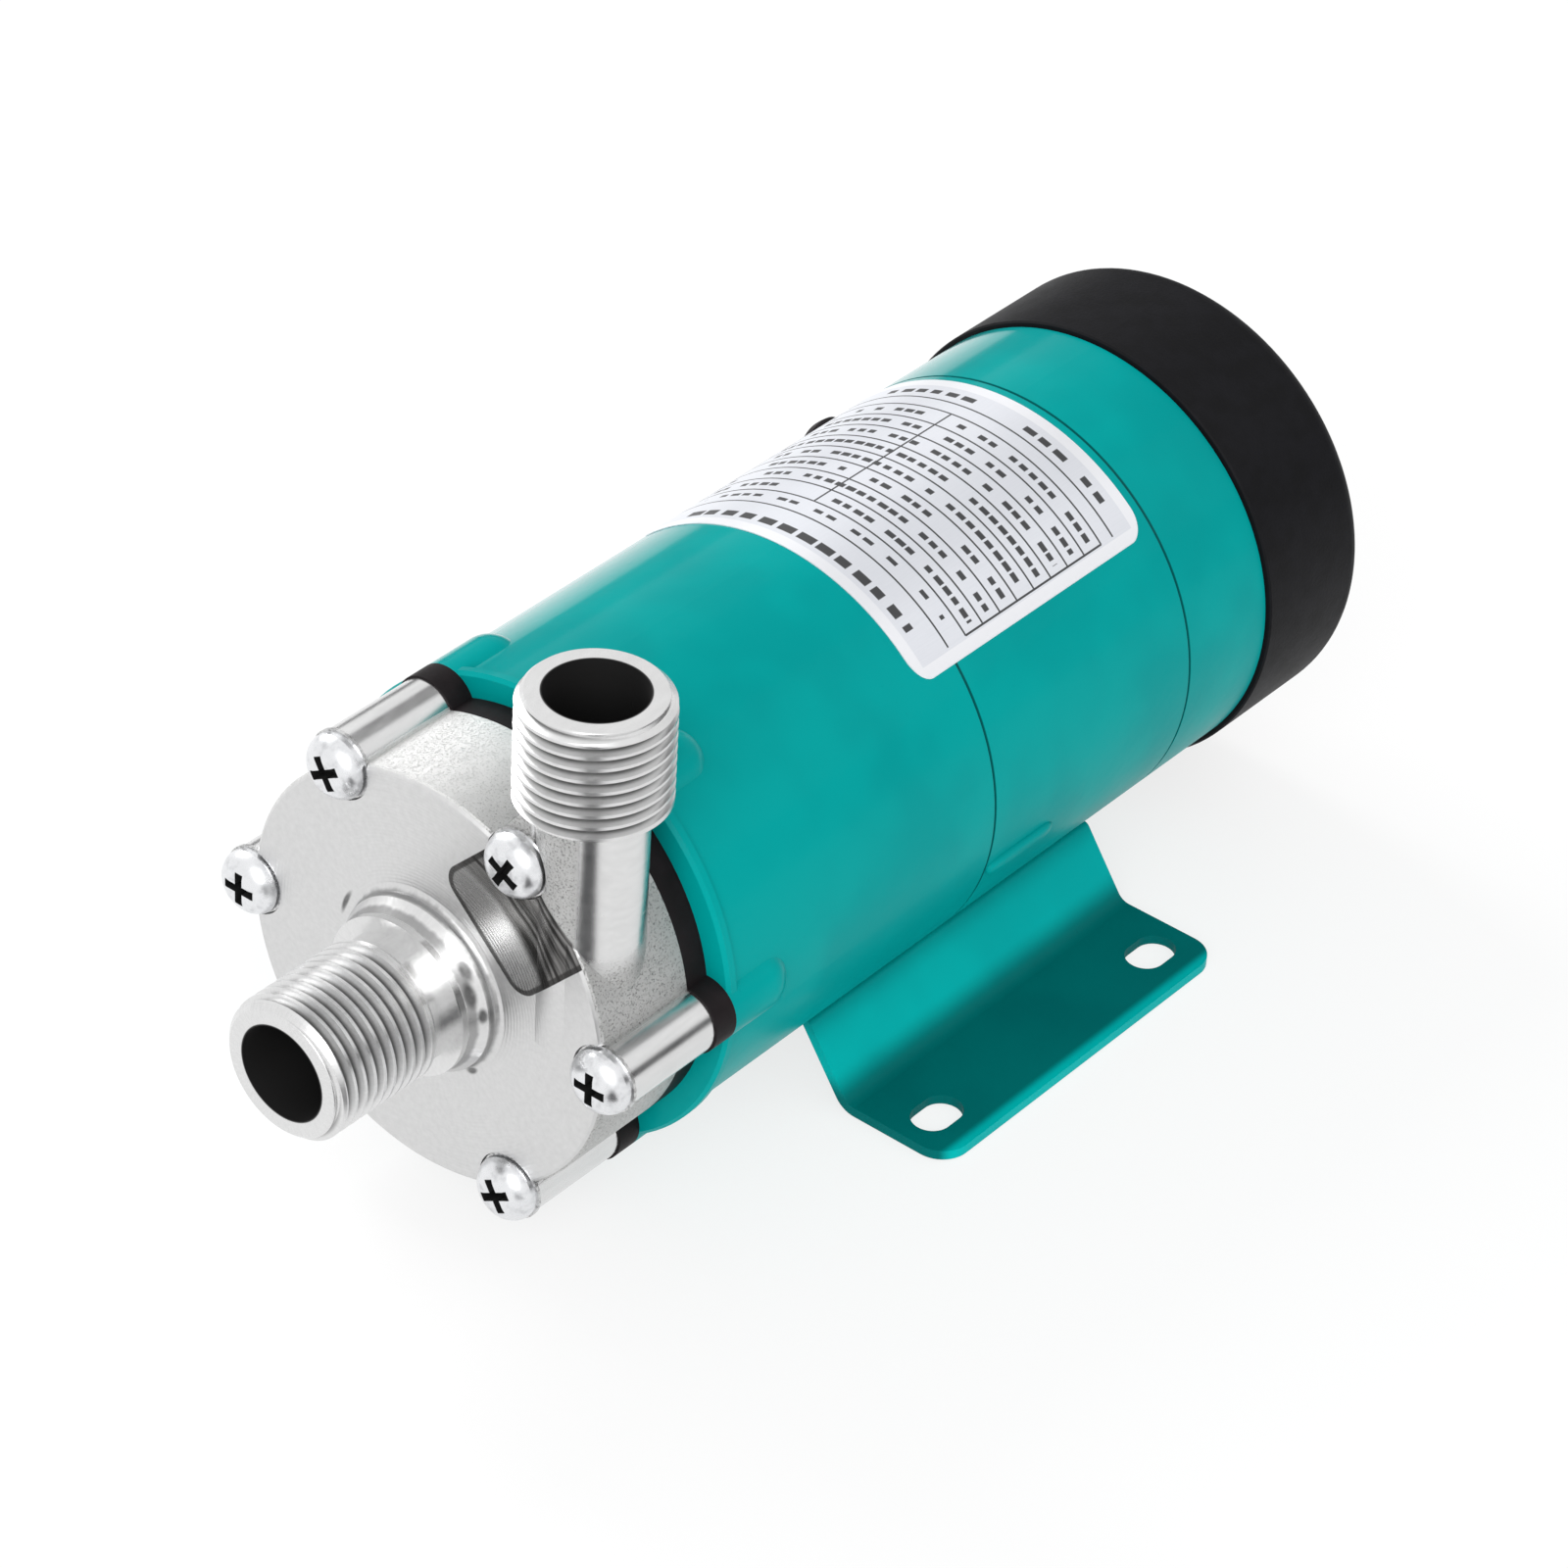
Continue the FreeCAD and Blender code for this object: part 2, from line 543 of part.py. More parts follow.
def tube(label, x, length, outer, inner):
    """A plain ring or tube around the pump axis."""
    body = new_body(label, x)
    revolve(body, "wall", [("0", inner), ("0", outer), (length, outer), (length, inner)])
    return body


def hexagon(across, along, radius):
    """Corner points of a hexagon."""
    return [(f"{across} + {radius} * cos({angle})", f"{along} + {radius} * sin({angle})")
            for angle in range(0, 360, 60)]


def screw_thread(body, name, plane, shift, axis, length, flip):
    """A helical groove cut into a port, from its plain end outwards past the mouth."""
    sketch = sketch_on(body, f"{name}_tooth", plane, shift)
    deep, narrow = "thread_radius - thread_depth", "thread_root / 2"
    slope = "((thread_pitch - thread_crest - thread_root) / 2 / thread_depth)"
    crest = f"thread_radius + {THREAD_OVERCUT}"
    wide = f"({narrow} + {slope} * (thread_depth + {THREAD_OVERCUT}))"
    if axis == "V_Axis":
        points = [(deep, f"-({narrow})"), (crest, f"-({wide})"), (crest, wide), (deep, narrow)]
    else:
        points = [(f"-({narrow})", deep), (narrow, deep), (wide, crest), (f"-({wide})", crest)]
    outline(sketch, points)
    groove = body.newObject("PartDesign::SubtractiveHelix", name)
    groove.Profile = sketch
    groove.ReferenceAxis = (sketch, [axis])
    groove.Mode = 0
    groove.Angle = 0
    groove.Growth = 0
    groove.Reversed = flip
    bind(groove, "Pitch", "thread_pitch")
    bind(groove, "Height", length)
    body.Tip = groove
    doc.recompute()
    return groove


# Pump head

def front_casing():
    """Cast stainless head: flat face, threaded inlet, side outlet, six screw bosses, impeller chamber."""
    body = new_body("front_casing", HEAD_X)
    tip = "(-inlet_reach)"
    thread_end = f"({tip} + inlet_thread_length)"
    hub_front = "(face_wall - spider_length)"
    revolve(body, "drum", [
        (tip, "0"),
        (tip, "port_lip_radius"),
        (f"{tip} + port_lip_length", "thread_radius"),
        (thread_end, "thread_radius"),
        (f"{thread_end} + thread_depth", "inlet_neck_radius"),
        ("-collar_reach", "inlet_neck_radius"),
        ("-collar_reach", "collar_radius"),
        ("collar_width - collar_reach", "collar_radius"),
        ("collar_width - collar_reach", "flare_radius"),
        ("-flare_run", "flare_foot_radius"),
        ("0", "flare_foot_radius"),
        ("0", "casing_radius - rim_chamfer"),
        ("rim_chamfer", "casing_radius"),
        ("casing_depth", "casing_radius"),
        ("casing_depth", "0")])
    boss = circle(sketch_on(body, "boss_outline", "YZ_Plane", ("0", "0", "boss_setback")),
                  "-screw_circle", "0", "casing_boss_radius")
    bosses = extrude(body, "boss", boss, "casing_depth - boss_setback")
    pattern(body, "bosses", [bosses], "screw_count")
    side, under = "(-outlet_side)", "(outlet_height - outlet_thread_length)"
    web = outline(sketch_on(body, "web_outline", "YZ_Plane", ("0", "0", "boss_setback")), [
        (side, f"{under} - web_height"),
        (side, under),
        (f"{side} + web_top", under),
        (f"{side} + web_knee", f"{under} - web_knee_drop"),
        (f"{side} + web_foot", f"{under} - web_foot_drop"),
        (f"{side} + web_foot", f"{under} - web_height")])
    extrude(body, "web", web, "casing_depth - boss_setback")
    neck = circle(sketch_on(body, "neck_outline", "XY_Plane"), "outlet_setback", side, "outlet_neck_radius")
    extrude(body, "neck", neck, under)
    stub = circle(sketch_on(body, "stub_outline", "XY_Plane", ("0", "0", under)),
                  "outlet_setback", side, "thread_radius")
    extrude(body, "stub", stub, "outlet_thread_length")
    mouth = number("outlet_height")
    dress(body, "Chamfer", "stub_bevel",
          lambda middle, radius, edge: radius is not None and abs(edge.Curve.Center.z - mouth) < NEAR,
          "port_lip_length")
    dress(body, "Fillet", "root_fillet", ring("0", "flare_foot_radius"), "flare_fillet")
    revolve(body, "chamber", [
        (f"{tip} - {MARGIN}", "0"),
        (f"{tip} - {MARGIN}", "port_bore"),
        (f"{hub_front} - eye_lead", "port_bore"),
        (f"{hub_front} - eye_lead", "eye_bore"),
        ("face_wall", "eye_bore"),
        ("face_wall", "chamber_radius"),
        (f"casing_depth + {MARGIN}", "chamber_radius"),
        (f"casing_depth + {MARGIN}", "0")], cut=True)
    revolve(body, "seal_groove", [
        ("casing_depth - oring_groove_depth", "oring_radius - oring_groove_width / 2"),
        ("casing_depth - oring_groove_depth", "oring_radius + oring_groove_width / 2"),
        (f"casing_depth + {MARGIN}", "oring_radius + oring_groove_width / 2"),
        (f"casing_depth + {MARGIN}", "oring_radius - oring_groove_width / 2")], cut=True)
    throat = circle(sketch_on(body, "throat_outline", "XY_Plane"),
                    "outlet_setback", f"{side} - throat_offset", "throat_radius")
    extrude(body, "throat", throat, "outlet_height", cut=True, flip=True)
    bore = circle(sketch_on(body, "outlet_bore_outline", "XY_Plane", ("0", "0", "outlet_height")),
                  "outlet_setback", side, "port_bore")
    extrude(body, "outlet_bore", bore, "outlet_bore_depth", cut=True)
    hole = circle(sketch_on(body, "hole_outline", "YZ_Plane"), "-screw_circle", "0",
                  "screw_radius + screw_hole_clearance")
    holes = extrude(body, "hole", hole, "casing_depth", cut=True, flip=True)
    pattern(body, "holes", [holes], "screw_count")
    spot = circle(sketch_on(body, "spot_face_outline", "YZ_Plane", ("0", "0", "boss_setback")),
                  "-screw_circle", "0", "washer_radius + screw_hole_clearance")
    spots = extrude(body, "spot_face", spot, f"boss_setback + {MARGIN}", cut=True)
    pattern(body, "spot_faces", [spots], "screw_count")
    hub = circle(sketch_on(body, "spider_hub_outline", "YZ_Plane", ("0", "0", hub_front)),
                 "0", "0", "spider_radius")
    extrude(body, "spider_hub", hub, "spider_length")
    arm = outline(sketch_on(body, "spider_arm_outline", "YZ_Plane", ("0", "0", hub_front)), [
        ("-spider_arm / 2", f"spider_radius - {BITE}"),
        ("spider_arm / 2", f"spider_radius - {BITE}"),
        ("spider_arm / 2", f"eye_bore + {BITE}"),
        ("-spider_arm / 2", f"eye_bore + {BITE}")])
    arms = extrude(body, "spider_arm", arm, "spider_length")
    pattern(body, "spider_arms", [arms], "3")
    revolve(body, "spindle_seat", [
        ("face_wall - spindle_seat", "0"),
        ("face_wall - spindle_seat", "spindle_radius + thread_fit"),
        (f"face_wall + {MARGIN}", "spindle_radius + thread_fit"),
        (f"face_wall + {MARGIN}", "0")], cut=True)
    screw_thread(body, "inlet_thread", "XZ_Plane", (thread_end, "0", "0"), "H_Axis",
                 "inlet_thread_length + thread_pitch", True)
    screw_thread(body, "outlet_thread", "XZ_Plane", ("outlet_setback", under, "outlet_side"), "V_Axis",
                 "outlet_thread_length + thread_pitch", False)
    return body


def pan_screws(label, x, head_radius, head_height, head_edge, length, radius, circle_radius, count):
    """Cross-recessed pan head screws around the pump axis, heads towards -X."""
    body = new_body(label, x)
    rise, run = f"({head_height} - {head_edge})", f"({head_radius} - screw_head_flat)"
    dome = f"({rise}^2 + {run}^2) / (2 * {rise})"
    blank = revolve(body, "blank", [
        (f"-{head_height}", "0"),
        (f"-{head_height}", "screw_head_flat", dome, 1),
        (f"-{head_edge}", head_radius),
        ("0", head_radius),
        ("0", radius),
        (f"{length} - screw_point", radius),
        (length, f"{radius} - screw_point"),
        (length, "0")], shift=circle_radius)
    cross = outline(sketch_on(body, "cross_outline", "YZ_Plane", ("0", "0", f"-{head_height}")),
                    cross_points(f"(-{circle_radius})", "recess_width / 2", "recess_length / 2"))
    recess = extrude(body, "recess", cross, "recess_depth", cut=True, flip=True)
    pattern(body, "around", [blank, recess], count)
    return body


def cross_points(centre, half_width, half_length):
    """The twelve corners of a cross."""
    a, b = half_width, half_length
    return [(f"{centre} + {u}", v) for u, v in (
        (b, f"-({a})"), (b, a), (a, a), (a, b), (f"-({a})", b), (f"-({a})", a),
        (f"-({b})", a), (f"-({b})", f"-({a})"), (f"-({a})", f"-({a})"), (f"-({a})", f"-({b})"),
        (a, f"-({b})"), (a, f"-({a})"))]


def casing_washers():
    body = new_body("casing_washers", f"{HEAD_X} + boss_setback - washer_thickness")
    disc = revolve(body, "disc", [
        ("0", "screw_radius + screw_hole_clearance"),
        ("0", "washer_radius"),
        ("washer_thickness", "washer_radius"),
        ("washer_thickness", "screw_radius + screw_hole_clearance")], shift="screw_circle")
    pattern(body, "around", [disc], "screw_count")


def casing_seal():
    seal = doc.addObject("Part::Torus", "casing_o_ring")
    seal.Label = "casing_o_ring"
    bind(seal, "Radius1", "oring_radius")
    bind(seal, "Radius2", "oring_section")
    bind(seal, "Placement.Base.x", f"{FLANGE_X} - oring_section")
    bind(seal, "Placement.Base.z", "axis_height")
    seal.Placement.Rotation = FreeCAD.Rotation(Vector(0, 1, 0), 90)


def rear_casing():
    """Black plastic can between the magnets, with a lobed flange."""
    body = new_body("rear_casing", FLANGE_X)
    floor = "(can_length - can_floor)"
    revolve(body, "flange_and_can", [
        ("0", "0"),
        ("0", "casing_radius"),
        ("flange_thickness", "casing_radius"),
        ("flange_thickness", CAN_OUTER),
        ("can_length - can_wall", CAN_OUTER, "can_wall", 1),
        ("can_length", "can_inner"),
        ("can_length", "0")])
    lobe = circle(sketch_on(body, "lobe_outline", "YZ_Plane"), "-screw_circle", "0", "lobe_radius")
    lobes = extrude(body, "lobe", lobe, "flange_thickness")
    pattern(body, "lobes", [lobes], "screw_count")
    revolve(body, "inside", [
        (f"-{MARGIN}", "0"),
        (f"-{MARGIN}", "can_inner"),
        (floor, "can_inner"),
        (floor, "spindle_boss_radius"),
        (f"{floor} - spindle_boss_length", "spindle_boss_radius"),
        (f"{floor} - spindle_boss_length", "spindle_radius + thread_fit"),
        (f"{floor} - spindle_boss_length + spindle_seat", "spindle_radius + thread_fit"),
        (f"{floor} - spindle_boss_length + spindle_seat", "0")], cut=True)
    hole = circle(sketch_on(body, "hole_outline", "YZ_Plane"), "-screw_circle", "0",
                  "screw_radius + screw_hole_clearance")
    holes = extrude(body, "hole", hole, "flange_thickness", cut=True, flip=True)
    pattern(body, "holes", [holes], "screw_count")


def spindle():
    rod = doc.addObject("Part::Cylinder", "spindle")
    rod.Label = "spindle"
    start = f"({CHAMBER_X} - spindle_seat)"
    end = f"({CAN_FLOOR_X} - spindle_boss_length + spindle_seat)"
    bind(rod, "Radius", "spindle_radius")
    bind(rod, "Height", f"{end} - {start}")
    bind(rod, "Placement.Base.x", start)
    bind(rod, "Placement.Base.z", "axis_height")
    rod.Placement.Rotation = FreeCAD.Rotation(Vector(0, 1, 0), 90)


def thrust_rings():
    inner = "spindle_radius + thread_fit"
    tube("front_thrust_ring", CHAMBER_X, "thrust_thickness", "thrust_radius", inner)
    tube("rear_thrust_ring", REAR_THRUST_X, "thrust_thickness", "thrust_radius", inner)


# Impeller and the inner magnet, one turning group

def impeller():
    body = new_body("impeller", IMPELLER_X)
    back = "(shroud_thickness + blade_height)"
    revolve(body, "back_plate", [
        (back, "bush_radius"),
        (back, "impeller_hub"),
        (back, "impeller_radius"),
        (IMPELLER_LENGTH, "impeller_radius"),
        (IMPELLER_LENGTH, "bush_radius")])
    revolve(body, "hub", [
        ("shroud_thickness", "bush_radius"),
        ("shroud_thickness", "impeller_hub"),
        (back, "impeller_hub"),
        (back, "bush_radius")])
    tip_across, tip_along = "blade_tip * sin(blade_sweep)", "blade_tip * cos(blade_sweep)"
    blade = outline(sketch_on(body, "blade_outline", "YZ_Plane", ("0", "0", "shroud_thickness")), [
        ("-blade_thickness / 2", "blade_root"),
        ("blade_thickness / 2", "blade_root"),
        (f"{tip_across} + blade_thickness / 2", tip_along),
        (f"{tip_across} - blade_thickness / 2", tip_along)])
    blades = extrude(body, "blade", blade, "blade_height")
    pattern(body, "blades", [blades], "blade_count")
    revolve(body, "shroud", [
        ("0", "eye_radius"),
        ("0", "impeller_radius"),
        ("shroud_thickness", "impeller_radius"),
        ("shroud_thickness", "eye_radius")])


def magnet_capsule():
    """Plastic cup behind the impeller that seals the inner magnet."""
    start = f"({IMPELLER_X} + {IMPELLER_LENGTH})"
    body = new_body("magnet_capsule", start)
    pocket = f"({MAGNET_X} - {start})"
    length = f"({pocket} + magnet_length)"
    revolve(body, "cup", [
        ("0", "bush_radius"),
        ("0", "capsule_radius"),
        (f"{length} + capsule_lid_thickness", "capsule_radius"),
        (f"{length} + capsule_lid_thickness", MAGNET_OUTER),
        (pocket, MAGNET_OUTER),
        (pocket, "inner_magnet_bore"),
        (f"{length} + capsule_lid_thickness", "inner_magnet_bore"),
        (f"{length} + capsule_lid_thickness", "bush_radius")])
    tube("inner_magnet", MAGNET_X, "magnet_length", f"{MAGNET_OUTER} - thread_fit",
         "inner_magnet_bore + thread_fit")
    tube("capsule_lid", f"{MAGNET_X} + magnet_length", "capsule_lid_thickness",
         f"{MAGNET_OUTER} - thread_fit", "inner_magnet_bore + thread_fit")


def bearing_bush():
    start = f"({CHAMBER_X} + thrust_thickness + end_play)"
    tube("bearing_bush", start, f"{BUSH_REAR_X} - {start}", "bush_radius - thread_fit",
         "spindle_radius + running_clearance")


# Bracket and the drive magnet

def bracket():
    """Painted housing that carries the pump head, the front bearing and the front of the motor."""
    body = new_body("bracket", BRACKET_X)
    revolve(body, "outside", [
        ("0", "0"),
        ("0", "lip_radius - lip_round"),
        ("lip_round", "lip_radius"),
        ("lip_length", "lip_radius"),
        ("lip_length", "body_radius"),
        ("bracket_length - seam_chamfer", "body_radius"),
        ("bracket_length", "body_radius - seam_chamfer"),
        ("bracket_length", SPIGOT),
        ("bracket_length + spigot_length", SPIGOT),
        ("bracket_length + spigot_length", "0")])
    rib = revolve(body, "rib", [
        ("0", "0"),
        ("0", "lobe_radius"),
        ("rib_length - lobe_radius", "lobe_radius", "lobe_radius", 1),
        ("rib_length", "0")], shift="screw_circle")
    pattern(body, "ribs", [rib], "screw_count")
    front = "(web_x - hub_shoulder)"
    rear = "(web_x + bearing_width)"
    revolve(body, "front_cavity", [
        (f"-{MARGIN}", "0"),
        (f"-{MARGIN}", "bracket_bore"),
        ("bracket_bore_depth", "bracket_bore"),
        ("bracket_bore_depth", CAVITY),
        ("web_x", CAVITY),
        ("web_x", "bearing_hub_radius"),
        (front, "bearing_hub_radius"),
        (front, "0")], cut=True)
    revolve(body, "rear_cavity", [
        (f"{front} - {MARGIN}", "0"),
        (f"{front} - {MARGIN}", "shoulder_hole"),
        ("web_x", "shoulder_hole"),
        ("web_x", "bearing_radius + thread_fit"),
        (rear, "bearing_radius + thread_fit"),
        (rear, "bearing_hub_radius"),
        ("web_x + web_wall", "bearing_hub_radius"),
        ("web_x + web_wall", f"{SPIGOT} - spigot_wall"),
        (f"bracket_length + spigot_length + {MARGIN}", f"{SPIGOT} - spigot_wall"),
        (f"bracket_length + spigot_length + {MARGIN}", "0")], cut=True)
    hole = circle(sketch_on(body, "screw_hole_outline", "YZ_Plane"), "-screw_circle", "0",
                  "screw_radius + thread_fit")
    holes = extrude(body, "screw_hole", hole, f"{SCREW_TIP_X} - {BRACKET_X} + screw_hole_spare",
                    cut=True, flip=True)
    pattern(body, "screw_holes", [holes], "screw_count")
    tie_holes(body, "web_x", "web_wall", "tie_radius + thread_fit")
    base_screw_hole(body, f"base_screw_front - {BRACKET_X}")


def tie_holes(body, x, depth, radius):
    """Holes for the tie bolts, between the casing screws."""
    diagonal = "tie_circle * sin(45)"
    sketch = circle(sketch_on(body, "tie_hole_outline", "YZ_Plane", ("0", "0", f"{x} - {MARGIN}")),
                    f"-{diagonal}", diagonal, radius)
    hole = extrude(body, "tie_hole", sketch, f"{depth} + 2 * {MARGIN}", cut=True, flip=True)
    pattern(body, "tie_holes", [hole], "tie_count")


def base_screw_hole(body, x):
    """A hole through the bottom of a wall for one base screw."""
    sketch = circle(sketch_on(body, "base_hole_outline", "XY_Plane"), x, "0",
                    "base_screw_radius + screw_hole_clearance")
    extrude(body, "base_hole", sketch, f"body_radius + {MARGIN}", cut=True)


def drive_yoke():
    start = f"({MAGNET_X} - yoke_lip)"
    floor = f"({YOKE_FLOOR_X} - {start})"
    end = f"({YOKE_REAR_X} - {start})"
    body = new_body("drive_yoke", start)
    revolve(body, "cup", [
        ("0", YOKE_BORE),
        ("0", f"{YOKE_BORE} + yoke_wall"),
        (f"{floor} + yoke_floor", f"{YOKE_BORE} + yoke_wall"),
        (f"{floor} + yoke_floor", "yoke_hub_radius"),
        (end, "yoke_hub_radius"),
        (end, "bearing_bore + thread_fit"),
        (floor, "bearing_bore + thread_fit"),
        (floor, YOKE_BORE)])
    sketch = circle(sketch_on(body, "set_screw_hole_outline", "XY_Plane"),
                    f"{end} - yoke_hub_length / 2", "0", "set_screw_radius + thread_fit")
    extrude(body, "set_screw_hole", sketch, f"yoke_hub_radius + {MARGIN}", cut=True, flip=True)


def drive_magnets():
    body = new_body("drive_magnets", MAGNET_X)
    segment = revolve(body, "segment", [
        ("0", f"{CAN_OUTER} + magnet_gap"),
        ("0", f"{YOKE_BORE} - thread_fit"),
        ("magnet_length", f"{YOKE_BORE} - thread_fit"),
        ("magnet_length", f"{CAN_OUTER} + magnet_gap")], angle="magnet_arc", middle=True)
    pattern(body, "around", [segment], "magnet_count")


def set_screw():
    body = new_body("set_screw", f"{YOKE_REAR_X} - yoke_hub_length / 2")
    start = "(bearing_bore + thread_fit)"
    sketch = circle(sketch_on(body, "rod_outline", "XY_Plane", ("0", "0", start)),
                    "0", "0", "set_screw_radius")
    extrude(body, "rod", sketch, "set_screw_length")
    socket = outline(sketch_on(body, "socket_outline", "XY_Plane", ("0", "0", f"{start} + set_screw_length")),
                     hexagon("0", "0", "set_socket_radius"))
    extrude(body, "socket", socket, "set_socket_depth", cut=True)


# Bearings, shaft and motor

def bearing(prefix, x):
    """A ball bearing: outer ring, inner ring and balls."""
    middle = "bearing_width / 2"
    half = "sqrt(race_radius^2 - race_land^2)"
    outer = new_body(f"{prefix}_bearing_outer_ring", x)
    revolve(outer, "ring", [
        ("0", "ball_circle + race_land"),
        ("0", "bearing_radius"),
        ("bearing_width", "bearing_radius"),
        ("bearing_width", "ball_circle + race_land"),
        (f"{middle} + {half}", "ball_circle + race_land", "race_radius", -1),
        (f"{middle} - {half}", "ball_circle + race_land")])
    inner = new_body(f"{prefix}_bearing_inner_ring", x)
    revolve(inner, "ring", [
        ("0", "bearing_bore + thread_fit"),
        ("0", "ball_circle - race_land"),
        (f"{middle} - {half}", "ball_circle - race_land", "race_radius", -1),
        (f"{middle} + {half}", "ball_circle - race_land"),
        ("bearing_width", "ball_circle - race_land"),
        ("bearing_width", "bearing_bore + thread_fit")])
    balls = new_body(f"{prefix}_bearing_balls", x)
    ball = revolve(balls, "ball", [
        (f"{middle} - ball_radius", "0", "half", 1),
        (f"{middle} + ball_radius", "0")], shift="ball_circle")
    pattern(balls, "around", [ball], "ball_count")


def motor_shaft():
    start = f"({YOKE_FLOOR_X} + shaft_gap)"
    body = new_body("motor_shaft", start)
    seat = f"({FRONT_BEARING_X} + bearing_width - {start})"
    seat_end = f"({REAR_BEARING_X} - {start})"
    clip = f"({FAN_X} + fan_length + clip_clearance - {start})"
    clip_end = f"({clip} + clip_width + 2 * clip_clearance)"
    revolve(body, "rod", [
        ("0", "0"),
        ("0", "bearing_bore - shaft_bevel"),
        ("shaft_bevel", "bearing_bore"),
        (seat, "bearing_bore"),
        (seat, "shaft_seat"),
        (seat_end, "shaft_seat"),
        (seat_end, "bearing_bore"),
        (clip, "bearing_bore"),
        (clip, "bearing_bore - clip_groove_depth"),
        (clip_end, "bearing_bore - clip_groove_depth"),
        (clip_end, "bearing_bore"),
        (f"{clip_end} + shaft_end - shaft_bevel", "bearing_bore"),
        (f"{clip_end} + shaft_end", "bearing_bore - shaft_bevel"),
        (f"{clip_end} + shaft_end", "0")])


def rotor():
    core = tube("rotor_core", CORE_X, "core_length", "rotor_radius", "shaft_seat + thread_fit")
    bar_hole = circle(sketch_on(core, "bar_hole_outline", "YZ_Plane"), "0", "cage_bar_circle",
                      "cage_bar_radius + thread_fit")
    hole = extrude(core, "bar_hole", bar_hole, "core_length", cut=True, flip=True)
    pattern(core, "bar_holes", [hole], "cage_bar_count")
    cage = new_body("rotor_cage", CORE_X)
    bar_outline = circle(sketch_on(cage, "bar_outline", "YZ_Plane"),
                         "0", "cage_bar_circle", "cage_bar_radius")
    bar = extrude(cage, "bar", bar_outline, "core_length")
    pattern(cage, "bars", [bar], "cage_bar_count")
    for name, start in (("front_ring", "-cage_ring_width"), ("rear_ring", "core_length")):
        revolve(cage, name, [
            (start, "cage_ring_inner"),
            (start, "rotor_radius - cage_ring_margin"),
            (f"{start} + cage_ring_width", "rotor_radius - cage_ring_margin"),
            (f"{start} + cage_ring_width", "cage_ring_inner")])


def motor_shell():
    body = new_body("motor_shell", "seam_x")
    revolve(body, "wall", [
        ("0", SHELL_BORE),
        ("0", "body_radius - seam_chamfer"),
        ("seam_chamfer", "body_radius"),
        ("shell_length - seam_chamfer", "body_radius"),
        ("shell_length", "body_radius - seam_chamfer"),
        ("shell_length", SHELL_BORE)])
    base_screw_hole(body, "base_screw_rear - seam_x")


def stator():
    core = tube("stator_core", CORE_X, "core_length", f"{SHELL_BORE} - core_clearance", "stator_bore")
    slot_outline = outline(sketch_on(core, "slot_outline", "YZ_Plane"), [
        ("-slot_mouth / 2", f"stator_bore - {BITE}"),
        ("slot_mouth / 2", f"stator_bore - {BITE}"),
        ("slot_mouth / 2", "slot_top"),
        ("slot_width / 2", "slot_top"),
        ("slot_width / 2", "slot_bottom"),
        ("-slot_width / 2", "slot_bottom"),
        ("-slot_width / 2", "slot_top"),
        ("-slot_mouth / 2", "slot_top")])
    slot = extrude(core, "slot", slot_outline, "core_length", cut=True, flip=True)
    pattern(core, "slots", [slot], "slot_count")
    tie_holes(core, "0", "core_length", "tie_radius + screw_hole_clearance")
    coils = new_body("stator_windings", CORE_X)
    low, high = "slot_top + coil_clearance", "slot_bottom - coil_clearance"
    bar_outline = outline(sketch_on(coils, "coil_outline", "YZ_Plane"), [
        ("coil_clearance - slot_width / 2", low),
        ("slot_width / 2 - coil_clearance", low),
        ("slot_width / 2 - coil_clearance", high),
        ("coil_clearance - slot_width / 2", high)])
    bar = extrude(coils, "coil_side", bar_outline, "core_length")
    pattern(coils, "coil_sides", [bar], "slot_count")
    for name, start in (("front_turns", "-coil_overhang"), ("rear_turns", "core_length")):
        revolve(coils, name, [
            (start, low),
            (start, high),
            (f"{start} + coil_overhang", high),
            (f"{start} + coil_overhang", low)])


def tie_bolts():
    """Long bolts from the end bell to the bracket, past the stator."""
    head = f"({BELL_X} + bell_web_x + web_wall)"
    body = new_body("tie_bolts", head)
    diagonal = "(tie_circle * sin(45))"
    rod = circle(sketch_on(body, "rod_outline", "YZ_Plane"), f"-{diagonal}", diagonal, "tie_radius")
    shank = extrude(body, "rod", rod, f"{head} - {WEB_X}", flip=True)
    cap = outline(sketch_on(body, "head_outline", "YZ_Plane"),
                  hexagon(f"(-{diagonal})", diagonal, "tie_head_radius"))
    top = extrude(body, "head", cap, "tie_head_height")
    pattern(body, "around", [shank, top], "tie_count")


